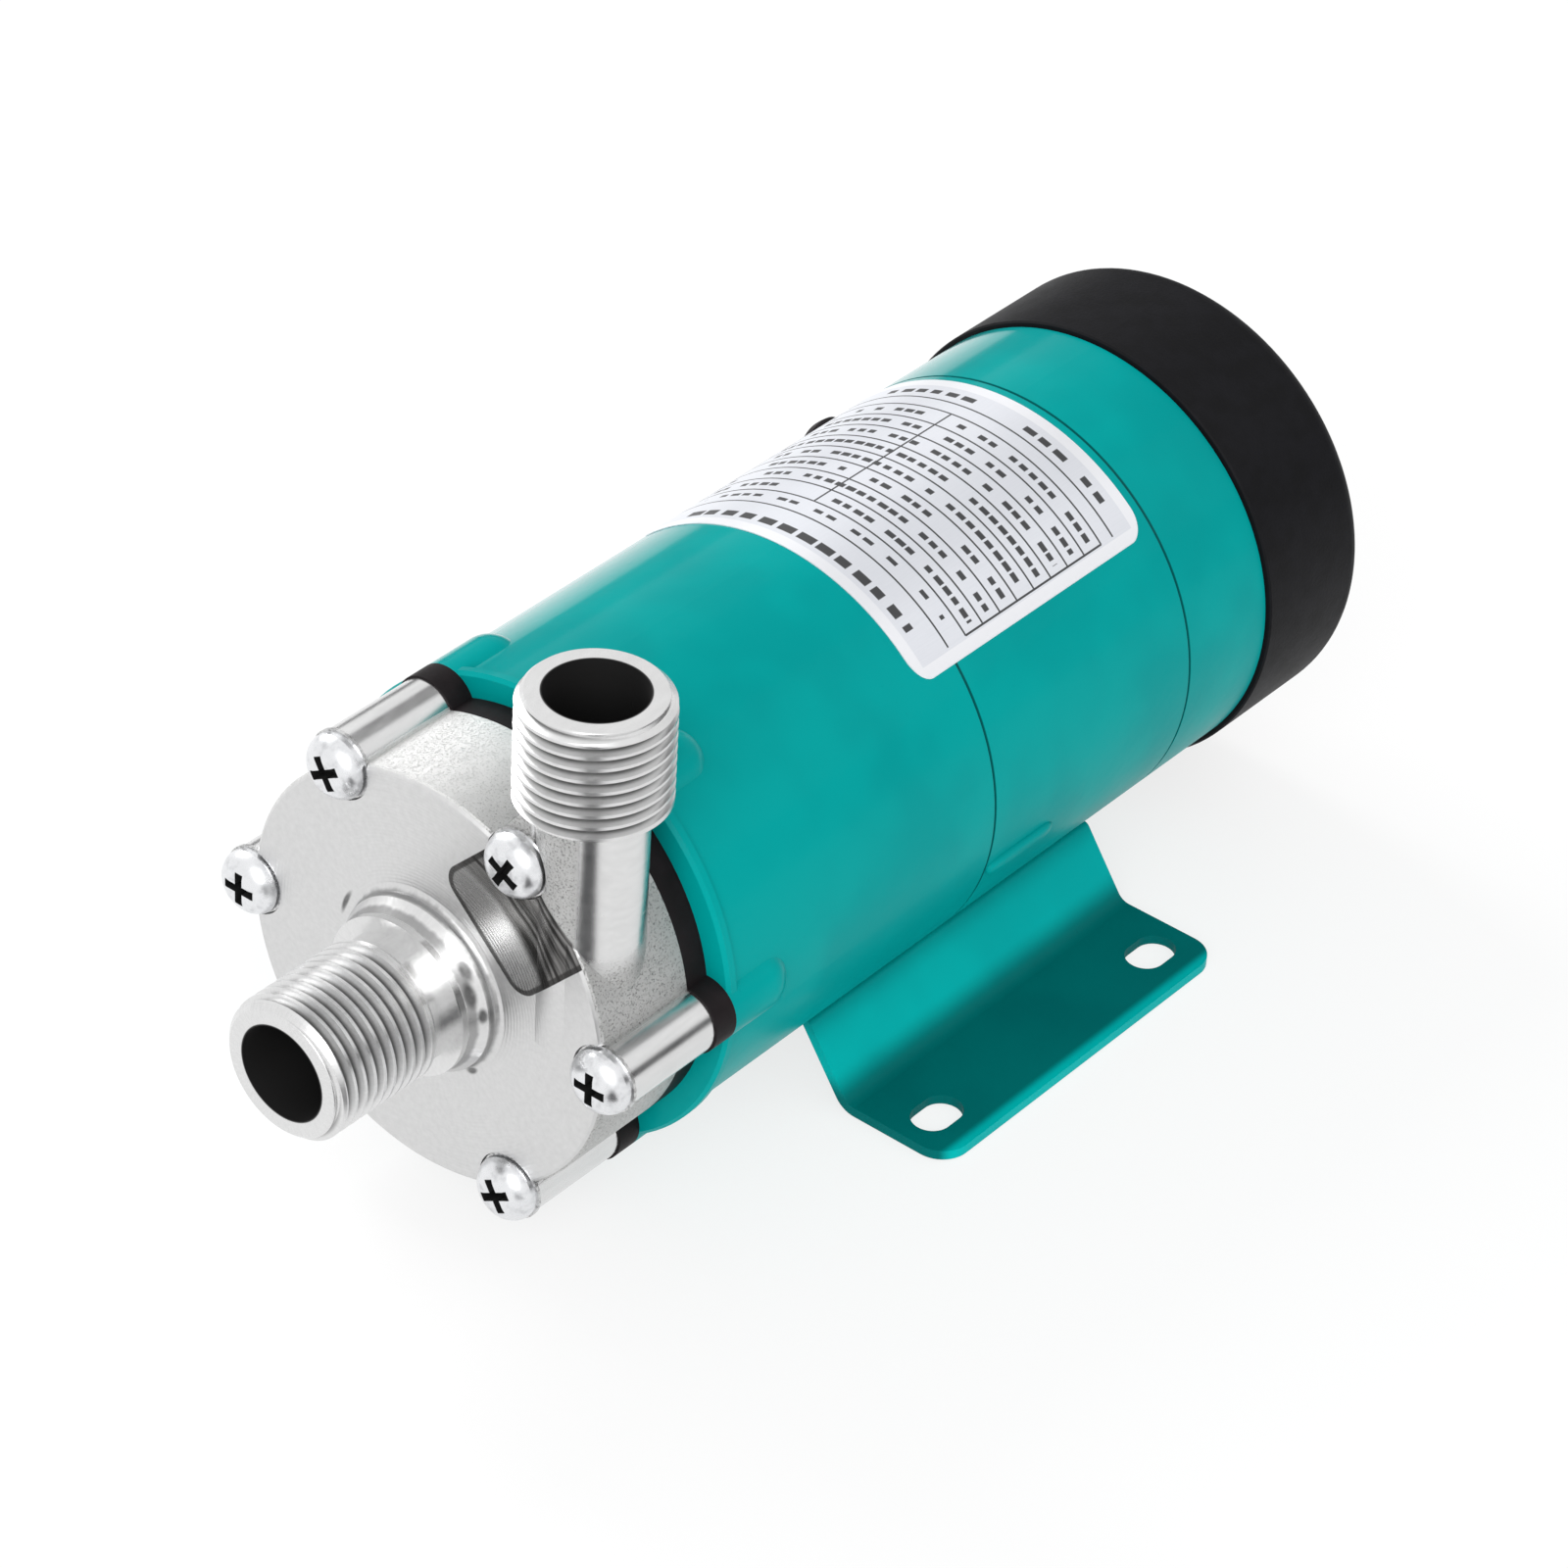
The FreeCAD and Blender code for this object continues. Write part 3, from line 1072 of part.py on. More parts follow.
def end_bell():
    """Painted rear shield of the motor: bearing web, register and posts for the fan cover."""
    body = new_body("end_bell", BELL_X)
    revolve(body, "outside", [
        ("-spigot_length", "0"),
        ("-spigot_length", SPIGOT),
        ("0", SPIGOT),
        ("0", "body_radius - seam_chamfer"),
        ("seam_chamfer", "body_radius"),
        ("bell_length", "body_radius"),
        ("bell_length", REGISTER),
        ("bell_length + register_length", REGISTER),
        ("bell_length + register_length", "0")])
    boss = circle(sketch_on(body, "gland_boss_outline", "XZ_Plane"), "gland_x", "0", "gland_boss_radius")
    extrude(body, "gland_boss", boss, "gland_boss_reach", flip=True)
    seat = "(bell_web_x + web_wall - bearing_width)"
    rear = "(bell_web_x + web_wall + hub_shoulder)"
    revolve(body, "front_cavity", [
        (f"-spigot_length - {MARGIN}", "0"),
        (f"-spigot_length - {MARGIN}", f"{SPIGOT} - spigot_wall"),
        ("bell_web_x", f"{SPIGOT} - spigot_wall"),
        ("bell_web_x", "bearing_hub_radius"),
        (seat, "bearing_hub_radius"),
        (seat, "bearing_radius + thread_fit"),
        (f"{seat} + bearing_width", "bearing_radius + thread_fit"),
        (f"{seat} + bearing_width", "0")], cut=True)
    revolve(body, "rear_cavity", [
        (f"{rear} - hub_shoulder - {MARGIN}", "0"),
        (f"{rear} - hub_shoulder - {MARGIN}", "shoulder_hole"),
        (rear, "shoulder_hole"),
        (rear, "bearing_hub_radius"),
        ("bell_web_x + web_wall", "bearing_hub_radius"),
        ("bell_web_x + web_wall", CAVITY),
        (f"bell_length + register_length + {MARGIN}", CAVITY),
        (f"bell_length + register_length + {MARGIN}", "0")], cut=True)
    post_outline = circle(sketch_on(body, "post_outline", "YZ_Plane", ("0", "0", "bell_web_x + web_wall")),
                          "0", "post_circle", "post_radius")
    post = extrude(body, "post", post_outline, f"{COVER_BACK_X} - {BELL_X} - bell_web_x - web_wall")
    pattern(body, "posts", [post], "post_count")
    pilot = circle(sketch_on(body, "pilot_outline", "YZ_Plane", ("0", "0", f"{COVER_BACK_X} - {BELL_X}")),
                   "0", "post_circle", "cover_screw_radius + thread_fit")
    hole = extrude(body, "pilot", pilot, "cover_screw_length", cut=True)
    pattern(body, "pilots", [hole], "post_count")
    tie_holes(body, "bell_web_x", "web_wall", "tie_radius + screw_hole_clearance")
    diagonal = "(tie_circle * sin(45))"
    pocket = circle(sketch_on(body, "tie_pocket_outline", "YZ_Plane", ("0", "0", "bell_web_x + web_wall")),
                    f"-{diagonal}", diagonal, "tie_head_radius + screw_hole_clearance")
    relief = extrude(body, "tie_pocket", pocket, "tie_pocket_depth", cut=True, flip=True)
    pattern(body, "tie_pockets", [relief], "tie_count")
    bore = circle(sketch_on(body, "gland_hole_outline", "XZ_Plane"), "gland_x", "0",
                  "gland_stem_radius + thread_fit")
    extrude(body, "gland_hole", bore, f"gland_boss_reach + {MARGIN}", cut=True)


def cooling_fan():
    body = new_body("cooling_fan", FAN_X)
    revolve(body, "disc", [
        ("0", "bearing_bore + thread_fit"),
        ("0", "fan_radius"),
        ("fan_disc", "fan_radius"),
        ("fan_disc", "fan_hub_radius"),
        ("fan_length", "fan_hub_radius"),
        ("fan_length", "bearing_bore + thread_fit")])
    vane = outline(sketch_on(body, "blade_outline", "YZ_Plane", ("0", "0", "fan_disc")), [
        ("-fan_blade / 2", f"fan_hub_radius - {BITE}"),
        ("fan_blade / 2", f"fan_hub_radius - {BITE}"),
        ("fan_blade / 2", "fan_radius - fan_blade_margin"),
        ("-fan_blade / 2", "fan_radius - fan_blade_margin")])
    blade = extrude(body, "blade", vane, "fan_length - fan_disc")
    pattern(body, "blades", [blade], "fan_blade_count")


def fan_clip():
    body = new_body("fan_clip", f"{FAN_X} + fan_length + 2 * clip_clearance")
    revolve(body, "ring", [
        ("0", "bearing_bore - clip_groove_depth + clip_clearance"),
        ("0", "clip_radius"),
        ("clip_width", "clip_radius"),
        ("clip_width", "bearing_bore - clip_groove_depth + clip_clearance")], angle="290", middle=True)


def fan_cover():
    """Black cap over the fan, with air slots in its back."""
    body = new_body("fan_cover", COVER_X)
    revolve(body, "shell", [
        ("0", COVER_BORE),
        ("0", "cover_radius - seam_chamfer"),
        ("seam_chamfer", "cover_radius"),
        ("cover_length - cover_round", "cover_radius", "cover_round", 1),
        ("cover_length", "cover_radius - cover_round"),
        ("cover_length", "0"),
        ("cover_length - cover_back", "0"),
        ("cover_length - cover_back", COVER_BORE)])
    inside = ("0", "0", "cover_length - cover_back")
    slot_outline = outline(sketch_on(body, "vent_outline", "YZ_Plane", inside), [
        ("-vent_width / 2", "vent_inner"),
        ("-vent_width / 2", "vent_outer", "half", 1),
        ("vent_width / 2", "vent_outer"),
        ("vent_width / 2", "vent_inner")])
    vent = extrude(body, "vent", slot_outline, "cover_back", cut=True, flip=True)
    pattern(body, "vents", [vent], "vent_count")
    through = circle(sketch_on(body, "screw_hole_outline", "YZ_Plane", inside),
                     "0", "post_circle", "cover_screw_radius + screw_hole_clearance")
    hole = extrude(body, "screw_hole", through, "cover_back", cut=True, flip=True)
    recess_outline = circle(sketch_on(body, "recess_outline", "YZ_Plane", ("0", "0", "cover_length")),
                            "0", "post_circle", "cover_head_radius + screw_hole_clearance")
    recess = extrude(body, "recess", recess_outline, "counterbore_depth", cut=True)
    pattern(body, "screw_holes", [hole, recess], "post_count")


def cover_screws():
    """Screws in the back of the fan cover, heads towards +X."""
    body = new_body("fan_cover_screws", f"{COVER_X} + cover_length - counterbore_depth")
    end = "(counterbore_depth - cover_back - cover_screw_length + pilot_spare)"
    blank = revolve(body, "blank", [
        (end, "0"),
        (end, "cover_tip_radius"),
        (f"{end} + cover_point", "cover_screw_radius"),
        ("0", "cover_screw_radius"),
        ("0", "cover_head_radius"),
        ("cover_head_edge", "cover_head_radius"),
        ("cover_head_height", "cover_head_flat"),
        ("cover_head_height", "0")], shift="post_circle")
    cross = outline(sketch_on(body, "cross_outline", "YZ_Plane", ("0", "0", "cover_head_height")),
                    cross_points("(-post_circle)", "cover_recess_arm", "cover_recess_reach"))
    recess = extrude(body, "recess", cross, "cover_recess_depth", cut=True)
    pattern(body, "around", [blank, recess], "post_count")


# Foot bracket

def base_bracket():
    """Bent sheet: a saddle under the body, two sloping webs and two slotted feet."""
    body = new_body("base_bracket", "0", "0")
    half = "(-foot_half_length)"
    length = "(2 * foot_half_length)"
    saddle = sketch_on(body, "saddle_outline", "YZ_Plane", ("0", "0", half))
    circle(saddle, "0", "axis_height", "body_radius + foot_sheet")
    circle(saddle, "0", "axis_height", "body_radius")
    extrude(body, "saddle_ring", saddle, length)
    wide = f"(body_radius + foot_sheet + {MARGIN})"
    above = outline(sketch_on(body, "above_outline", "YZ_Plane", ("0", "0", half)), [
        (f"-{wide}", "saddle_top"),
        (wide, "saddle_top"),
        (wide, f"axis_height + {wide}"),
        (f"-{wide}", f"axis_height + {wide}")])
    extrude(body, "saddle_cut", above, length, cut=True, flip=True)
    top = "sqrt((body_radius + foot_sheet)^2 - (axis_height - saddle_top)^2)"
    run, rise = f"(foot_bend - {top})", "(saddle_top - foot_sheet)"
    slant = f"sqrt({run}^2 + {rise}^2)"
    under_bend = f"(foot_bend - foot_sheet * {rise} / ({slant} + {run}))"
    for name, sign in (("near", "-"), ("far", "")):
        section = outline(sketch_on(body, f"{name}_foot_outline", "YZ_Plane", ("0", "0", half)), [
            (f"{sign}({top} - foot_sheet * {rise} / {slant})", f"saddle_top - foot_sheet * {run} / {slant}"),
            (f"{sign}{under_bend}", "0"),
            (f"{sign}foot_half_width", "0"),
            (f"{sign}foot_half_width", "foot_sheet"),
            (f"{sign}foot_bend", "foot_sheet"),
            (f"{sign}{top}", "saddle_top")])
        extrude(body, f"{name}_foot", section, length)
    slots = sketch_on(body, "slot_outline", "XY_Plane")
    reach = "(slot_reach / 2 - slot_radius)"
    for along in ("-", ""):
        for across in ("-", ""):
            middle_x = f"{along}slot_spacing_along / 2"
            middle_y = f"{across}slot_spacing_across / 2"
            outline(slots, [
                (f"{middle_x} - {reach}", f"{middle_y} - slot_radius"),
                (f"{middle_x} + {reach}", f"{middle_y} - slot_radius", "half", -1),
                (f"{middle_x} + {reach}", f"{middle_y} + slot_radius"),
                (f"{middle_x} - {reach}", f"{middle_y} + slot_radius", "half", -1)])
    extrude(body, "slots", slots, "2 * foot_sheet", cut=True, flip=True)
    holes = sketch_on(body, "base_hole_outline", "XY_Plane")
    for station in ("base_screw_front", "base_screw_rear"):
        circle(holes, station, "0", "base_screw_radius + screw_hole_clearance")
    extrude(body, "base_holes", holes, "saddle_top", cut=True, flip=True)
    edge = number("foot_half_width")
    dress(body, "Fillet", "corners", lambda middle, radius, item: upright(item)
          and abs(abs(middle.y) - edge) < NEAR, "foot_corner")
    bend, sheet_top, saddle_end = number("foot_bend"), number("foot_sheet"), number("saddle_top")
    dress(body, "Fillet", "inside_bends", lambda middle, radius, item: lengthwise(item)
          and abs(abs(middle.y) - bend) < NEAR and abs(middle.z - sheet_top) < NEAR, "foot_inside_round")
    under = number(under_bend)
    dress(body, "Fillet", "outside_bends", lambda middle, radius, item: lengthwise(item)
          and abs(abs(middle.y) - under) < NEAR and abs(middle.z) < NEAR, "foot_inside_round + foot_sheet")
    outer = number(top)
    dress(body, "Fillet", "top_bends", lambda middle, radius, item: lengthwise(item)
          and abs(abs(middle.y) - outer) < NEAR and abs(middle.z - saddle_end) < NEAR, "saddle_round")


def upright(edge):
    return isinstance(edge.Curve, Part.Line) and abs(edge.Curve.Direction.z) > 0.999


def lengthwise(edge):
    return isinstance(edge.Curve, Part.Line) and abs(edge.Curve.Direction.x) > 0.999


def base_screws():
    """Two screws through the saddle, with nuts inside the body."""
    screws = new_body("base_screws")
    nuts = new_body("base_nuts")
    seat = "(body_radius + foot_sheet)"
    inner = {"base_screw_front": CAVITY, "base_screw_rear": SHELL_BORE}
    for station, wall in inner.items():
        top = f"({seat} - base_screw_length)"
        rod = circle(sketch_on(screws, f"{station}_rod", "XY_Plane", ("0", "0", f"-{seat}")),
                     station, "0", "base_screw_radius")
        extrude(screws, f"{station}_shank", rod, "base_screw_length")
        cap = circle(sketch_on(screws, f"{station}_cap", "XY_Plane", ("0", "0", f"-{seat}")),
                     station, "0", "base_head_radius")
        extrude(screws, f"{station}_head", cap, "base_head_height", flip=True)
        head_end = ("0", "0", f"-{seat} - base_head_height")
        slot = outline(sketch_on(screws, f"{station}_drive", "XY_Plane", head_end),
                       hexagon(station, "0", "base_socket_radius"))
        extrude(screws, f"{station}_socket", slot, "base_socket_depth", cut=True, flip=True)
        blank = sketch_on(nuts, f"{station}_nut", "XY_Plane", ("0", "0", f"-(sqrt({wall}^2 - nut_radius^2))"))
        outline(blank, hexagon(station, "0", "nut_radius"))
        circle(blank, station, "0", "base_screw_radius + thread_fit")
        extrude(nuts, f"{station}_block", blank, "nut_height")


# Label and cable gland

def rating_label():
    """Thin satin label bent over the top of the body, across the front seam."""
    skin = []
    for name, radius in (("label_outside", "body_radius + label_lift + label_thickness"),
                         ("label_inside", "body_radius + label_lift")):
        rod = doc.addObject("Part::Cylinder", name)
        bind(rod, "Radius", radius)
        bind(rod, "Height", "label_length")
        rod.Placement.Rotation = FreeCAD.Rotation(Vector(0, 1, 0), 90)
        skin.append(rod)
    sheet_ring = doc.addObject("Part::Cut", "label_ring")
    sheet_ring.Base, sheet_ring.Tool = skin
    block = doc.addObject("Part::Box", "label_block")
    width = "(2 * (body_radius + label_lift) * sin(label_half_angle))"
    bind(block, "Length", "label_length")
    bind(block, "Width", width)
    bind(block, "Height", f"body_radius + {MARGIN}")
    bind(block, "Placement.Base.y", f"-{width} / 2")
    doc.recompute()
    corners = [index for index, edge in enumerate(block.Shape.Edges, start=1) if upright(edge)]
    rounded = doc.addObject("Part::Fillet", "label_plan")
    rounded.Base = block
    corner = number("label_corner")
    rounded.Edges = [(index, corner, corner) for index in corners]
    label = doc.addObject("Part::Common", "rating_label")
    label.Label = "rating_label"
    label.Base, label.Tool = sheet_ring, rounded
    bind(label, "Placement.Base.x", "label_front")
    bind(label, "Placement.Base.z", "axis_height")


def cable_gland():
    """Gland on the far side of the end bell, where a cable would leave the motor."""
    body = new_body("cable_gland", f"{BELL_X} + gland_x")
    seat = "gland_boss_reach"
    end = f"({seat} + gland_body_length + gland_nut_length)"
    sketch = outline(sketch_on(body, "section", "XY_Plane"), [
        ("gland_bore", f"{seat} - gland_stem_length"),
        ("gland_stem_radius", f"{seat} - gland_stem_length"),
        ("gland_stem_radius", seat),
        ("gland_body_radius", seat),
        ("gland_body_radius", f"{seat} + gland_body_length"),
        ("gland_nut_radius", f"{seat} + gland_body_length"),
        ("gland_nut_radius", f"{end} - gland_nut_round", "2 * gland_nut_radius", -1),
        ("gland_bore + gland_mouth", end),
        ("gland_bore", f"{end} - gland_mouth_depth")])
    turned = body.newObject("PartDesign::Revolution", "turned")
    turned.Profile = sketch
    turned.ReferenceAxis = (sketch, ["V_Axis"])
    turned.Angle = 360
    doc.recompute()


front_casing()
pan_screws("casing_screws", f"{HEAD_X} + boss_setback - washer_thickness", "screw_head_radius",
           "screw_head_height", "screw_head_edge", "screw_length", "screw_radius", "screw_circle",
           "screw_count")
casing_washers()
casing_seal()
rear_casing()
spindle()
thrust_rings()
impeller()
magnet_capsule()
bearing_bush()
bracket()
drive_yoke()
drive_magnets()
set_screw()
bearing("front", FRONT_BEARING_X)
bearing("rear", REAR_BEARING_X)
motor_shaft()
rotor()
motor_shell()
stator()
tie_bolts()
end_bell()
cooling_fan()
fan_clip()
fan_cover()
cover_screws()
base_bracket()
base_screws()
rating_label()
cable_gland()
doc.recompute()

# Every feature has to be sound before anything is written
FAILED = [item.Name for item in doc.Objects if "Invalid" in item.State or "Error" in item.State]
if FAILED:
    raise RuntimeError(f"these did not compute: {FAILED}")

PARTS = [item for item in doc.Objects if item.TypeId == "PartDesign::Body"]
PARTS += [doc.getObject(name) for name in ("casing_o_ring", "spindle", "rating_label")]
os.makedirs("parts", exist_ok=True)
for part in PARTS:
    if part.Shape.isNull() or not part.Shape.isValid():
        raise RuntimeError(f"{part.Label} is not a valid shape")
for part in PARTS:
    part.Shape.exportStep(f"parts/{part.Label}.step")
    box = part.Shape.BoundBox
    print(f"{part.Label}: {len(part.Shape.Solids)} solids, volume {part.Shape.Volume:.1f},"
          f" X {box.XMin:.2f} to {box.XMax:.2f}")
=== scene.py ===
# %% [markdown]
# A magnetic drive pump: a stainless pump head with two threaded ports, a black flange, a teal
# aluminium motor body with a silver rating label, a black fan cover and a bent sheet metal foot.
# The solids come from the imported model and never move. This script gives them their finish,
# adds one small rib of the motor shell, and sets up the studio.
#
# The first cell loads the frame. The dressed pump has to stay inside it.

# %% Load the frame
import json
import math

import bmesh
import bpy
from mathutils import Matrix, Vector


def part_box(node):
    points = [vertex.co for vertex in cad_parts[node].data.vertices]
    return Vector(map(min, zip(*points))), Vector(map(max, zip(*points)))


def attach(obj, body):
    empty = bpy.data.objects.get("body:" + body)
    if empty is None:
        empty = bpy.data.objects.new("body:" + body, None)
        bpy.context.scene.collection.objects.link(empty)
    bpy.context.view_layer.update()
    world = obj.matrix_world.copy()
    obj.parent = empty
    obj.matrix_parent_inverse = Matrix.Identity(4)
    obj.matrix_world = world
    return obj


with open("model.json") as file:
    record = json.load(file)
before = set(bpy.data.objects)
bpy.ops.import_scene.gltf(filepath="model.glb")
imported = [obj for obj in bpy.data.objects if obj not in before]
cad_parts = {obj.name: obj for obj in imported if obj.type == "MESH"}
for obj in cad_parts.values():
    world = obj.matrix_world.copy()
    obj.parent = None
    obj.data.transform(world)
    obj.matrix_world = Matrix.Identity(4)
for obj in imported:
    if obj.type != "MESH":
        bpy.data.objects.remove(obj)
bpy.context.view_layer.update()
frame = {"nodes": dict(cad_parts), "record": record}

MM = 0.001
print("nodes loaded:", len(frame["nodes"]))

# %% [markdown]
# The camera stands where the photographer stood: ahead of the inlet, above the pump and on the
# side of the outlet, with a long lens, so that the barrel hardly tapers. A camera looks along its
# own -Z with +Y up, so its matrix has the columns right, up and backwards.

# %% Camera
CAMERA_PLACE = Vector((-0.53507, -0.40092, 0.51294))
CAMERA_LOOK = Vector((0.640637, 0.491395, -0.590012)).normalized()
CAMERA_UP = Vector((0.430633, 0.406246, 0.805928))
LENS = 132.61
SENSOR = 36.0

camera_data = bpy.data.cameras.new("camera")
camera_data.lens = LENS
camera_data.sensor_width = SENSOR
camera = bpy.data.objects.new("camera", camera_data)
bpy.context.scene.collection.objects.link(camera)
camera_right = CAMERA_LOOK.cross(CAMERA_UP).normalized()
camera_up = camera_right.cross(CAMERA_LOOK)
turn = Matrix((camera_right, camera_up, -CAMERA_LOOK)).transposed()
camera.matrix_world = Matrix.Translation(CAMERA_PLACE) @ turn.to_4x4()
bpy.context.scene.camera = camera
bpy.context.scene.view_settings.view_transform = "Standard"
print("camera to the origin:", round(CAMERA_PLACE.length, 3), "m")

# %% [markdown]
# A material is a graph of nodes, and long graphs are hard to read as a list of links. So a small
# class wraps one output socket: a sum written with it in Python adds the Math nodes that work the
# sum out on the surface. The reflected forms let a plain number stand first, as in 1 - mask.

# %% Sums on sockets


class Signal:
    """A value that varies over a surface: one output socket of a graph."""

    def __init__(self, graph, socket):
        self.graph = graph
        self.socket = socket

    def __add__(self, other):
        return self.graph.math("ADD", self, other)

    def __radd__(self, other):
        return self.graph.math("ADD", other, self)

    def __sub__(self, other):
        return self.graph.math("SUBTRACT", self, other)

    def __rsub__(self, other):
        return self.graph.math("SUBTRACT", other, self)

    def __mul__(self, other):
        return self.graph.math("MULTIPLY", self, other)

    def __rmul__(self, other):
        return self.graph.math("MULTIPLY", other, self)

    def __truediv__(self, other):
        return self.graph.math("DIVIDE", self, other)

    def __rtruediv__(self, other):
        return self.graph.math("DIVIDE", other, self)


print("a signal can be added, subtracted, multiplied and divided")

# %% [markdown]
# Materials and the world are both graphs around one main shader, so one class serves both. Every
# other node comes from one method, node, which takes the node's type, its settings and what goes
# into its sockets: a number or colour is set there, and a signal is linked.

# %% Graph


class Graph:
    """The nodes of one material, or of the world, around its main shader."""

    def __init__(self, owner, shader, output):
        self.owner = owner
        owner.use_nodes = True
        self.tree = owner.node_tree
        self.tree.nodes.clear()
        self.shader = self.tree.nodes.new(shader)
        self.output = self.tree.nodes.new(output)
        self.tree.links.new(self.shader.outputs[0], self.output.inputs["Surface"])

    def node(self, kind, settings=(), inputs=(), output=0):
        node = self.tree.nodes.new(kind)
        for name, value in dict(settings).items():
            setattr(node, name, value)
        for key, value in dict(inputs).items():
            self.feed(node.inputs[key], value)
        return Signal(self, node.outputs[output])

    def feed(self, socket, value):
        if isinstance(value, Signal):
            self.tree.links.new(value.socket, socket)
        else:
            socket.default_value = value

    def surface(self, **inputs):
        """Feed sockets of the main shader, by name, and give back what the graph belongs to."""
        for name, value in inputs.items():
            self.feed(self.shader.inputs[name.replace("_", " ")], value)
        return self.owner

    def math(self, operation, *values):
        return self.node("ShaderNodeMath", {"operation": operation}, dict(enumerate(values)))

    def most(self, *values):
        """The largest of some values, which joins masks."""
        largest = values[0]
        for value in values[1:]:
            largest = self.math("MAXIMUM", largest, value)
        return largest


print("graphs can hold a material or the world")

# %% [markdown]
# A finish is one material. Its methods are the few patterns that all the pump's finishes share:
# the place of a point in millimetres, soft steps and bands, grain, a blend of two colours and a
# bump. Colours are written as a paint chart gives them and turned into linear light once.

# %% Finish


class Finish(Graph):
    """One material, built as a graph around a Principled surface."""

    def __init__(self, name, **constants):
        super().__init__(bpy.data.materials.new(name), "ShaderNodeBsdfPrincipled",
                         "ShaderNodeOutputMaterial")
        self.surface(**constants)

    def place(self):
        """The point on the pump, in millimetres, with x along the pump axis."""
        coordinates = self.node("ShaderNodeTexCoord", output="Object")
        return self.node("ShaderNodeVectorMath", {"operation": "SCALE"},
                         {0: coordinates, "Scale": 1 / MM})

    def split(self, vector):
        """The three numbers of a vector."""
        first = self.node("ShaderNodeSeparateXYZ", inputs={0: vector})
        return [Signal(self, socket) for socket in first.socket.node.outputs]

    def join(self, x, y, z):
        return self.node("ShaderNodeCombineXYZ", inputs={0: x, 1: y, 2: z})

    def radius(self, a, b):
        return self.math("SQRT", a * a + b * b)

    def rise(self, value, low, high):
        """Nothing below low, one above high and a soft slope between them."""
        return self.node("ShaderNodeMapRange", {"interpolation_type": "SMOOTHSTEP"},
                         {"Value": value, "From Min": low, "From Max": high})

    def fall(self, value, low, high):
        """One below low, nothing above high and a soft slope between them."""
        return 1 - self.rise(value, low, high)

    def band(self, value, low, high, soft):
        """One between low and high, with soft edges outside them."""
        return self.rise(value, low - soft, low) * self.fall(value, high, high + soft)

    def grain(self, vector, scale, detail=3.0, roughness=0.55):
        return self.node("ShaderNodeTexNoise", {"noise_dimensions": "3D"},
                         {"Vector": vector, "Scale": scale, "Detail": detail,
                          "Roughness": roughness})

    def blend(self, mask, first, second):
        """The first colour where the mask is nothing, the second where it is one."""
        return self.node("ShaderNodeMix", {"data_type": "RGBA"}, {0: mask, 6: first, 7: second}, 2)

    def shade(self, colour, factor):
        """A colour made darker or lighter by a factor that varies."""
        grey = self.join(factor, factor, factor)
        return self.node("ShaderNodeMix", {"data_type": "RGBA", "blend_type": "MULTIPLY"},
                         {0: 1.0, 6: colour, 7: grey}, 2)

    def bump(self, height, depth):
        """A normal for a relief of that depth in millimetres."""
        return self.node("ShaderNodeBump", inputs={"Strength": 1.0, "Distance": depth * MM,
                                                   "Height": height})


def paint(red, green, blue):
    """A colour as a paint chart gives it, 0 to 255, as the linear light that a shader takes."""
    def linear(value):
        share = value / 255
        return share / 12.92 if share <= 0.04045 else ((share + 0.055) / 1.055) ** 2.4
    return (linear(red), linear(green), linear(blue), 1.0)


WHITE = paint(255, 255, 255)
# Every finished material, by the name of its slot in the record
FINISHES = {}
print("a mid grey in linear light:", round(paint(128, 128, 128)[0], 3))

# %% [markdown]
# The studio has an even white sky. It shows white to the camera and in the metal, and lights the
# pump at three quarters of that, so that the lamps and the sky together light a surface at about
# the level at which its colour renders as it is written.

# %% Sky
SKY_LIGHT = 0.74


def white_rays(graph):
    """One for the rays that see the background: straight, in a mirror or through glass."""
    return graph.most(*[graph.node("ShaderNodeLightPath", output=name)
                        for name in ("Is Camera Ray", "Is Glossy Ray", "Is Transmission Ray")])


bpy.context.scene.world = bpy.data.worlds.new("studio")
sky = Graph(bpy.context.scene.world, "ShaderNodeBackground", "ShaderNodeOutputWorld")
sky.surface(Color=WHITE, Strength=SKY_LIGHT + (1 - SKY_LIGHT) * white_rays(sky))
print("sky lights the pump at", SKY_LIGHT)

# %% [markdown]
# The floor is a pale sheet just below the foot. Near the pump a share of it is real paint that
# takes a soft shadow, and the rest glows white as the sky does, so it has no visible end.

# %% Floor
FLOOR_REACH = 3.0
FLOOR_DROP = 0.0002
FLOOR_WHITE = paint(251, 251, 251)
SHADOW_SHARE = 0.24
SHADOW_FADE = (300.0, 1200.0)
CORNERS = ((-1, -1), (1, -1), (1, 1), (-1, 1))


def flat_piece(name, half_length, half_width, height=0.0):
    """A level rectangle around the origin, as an object in the scene."""
    mesh = bpy.data.meshes.new(name)
    mesh.from_pydata([(a * half_length, b * half_width, height) for a, b in CORNERS], [],
                     [(0, 1, 2, 3)])
    piece = bpy.data.objects.new(name, mesh)
    bpy.context.scene.collection.objects.link(piece)
    return piece


floor = flat_piece("floor", FLOOR_REACH, FLOOR_REACH, -FLOOR_DROP)

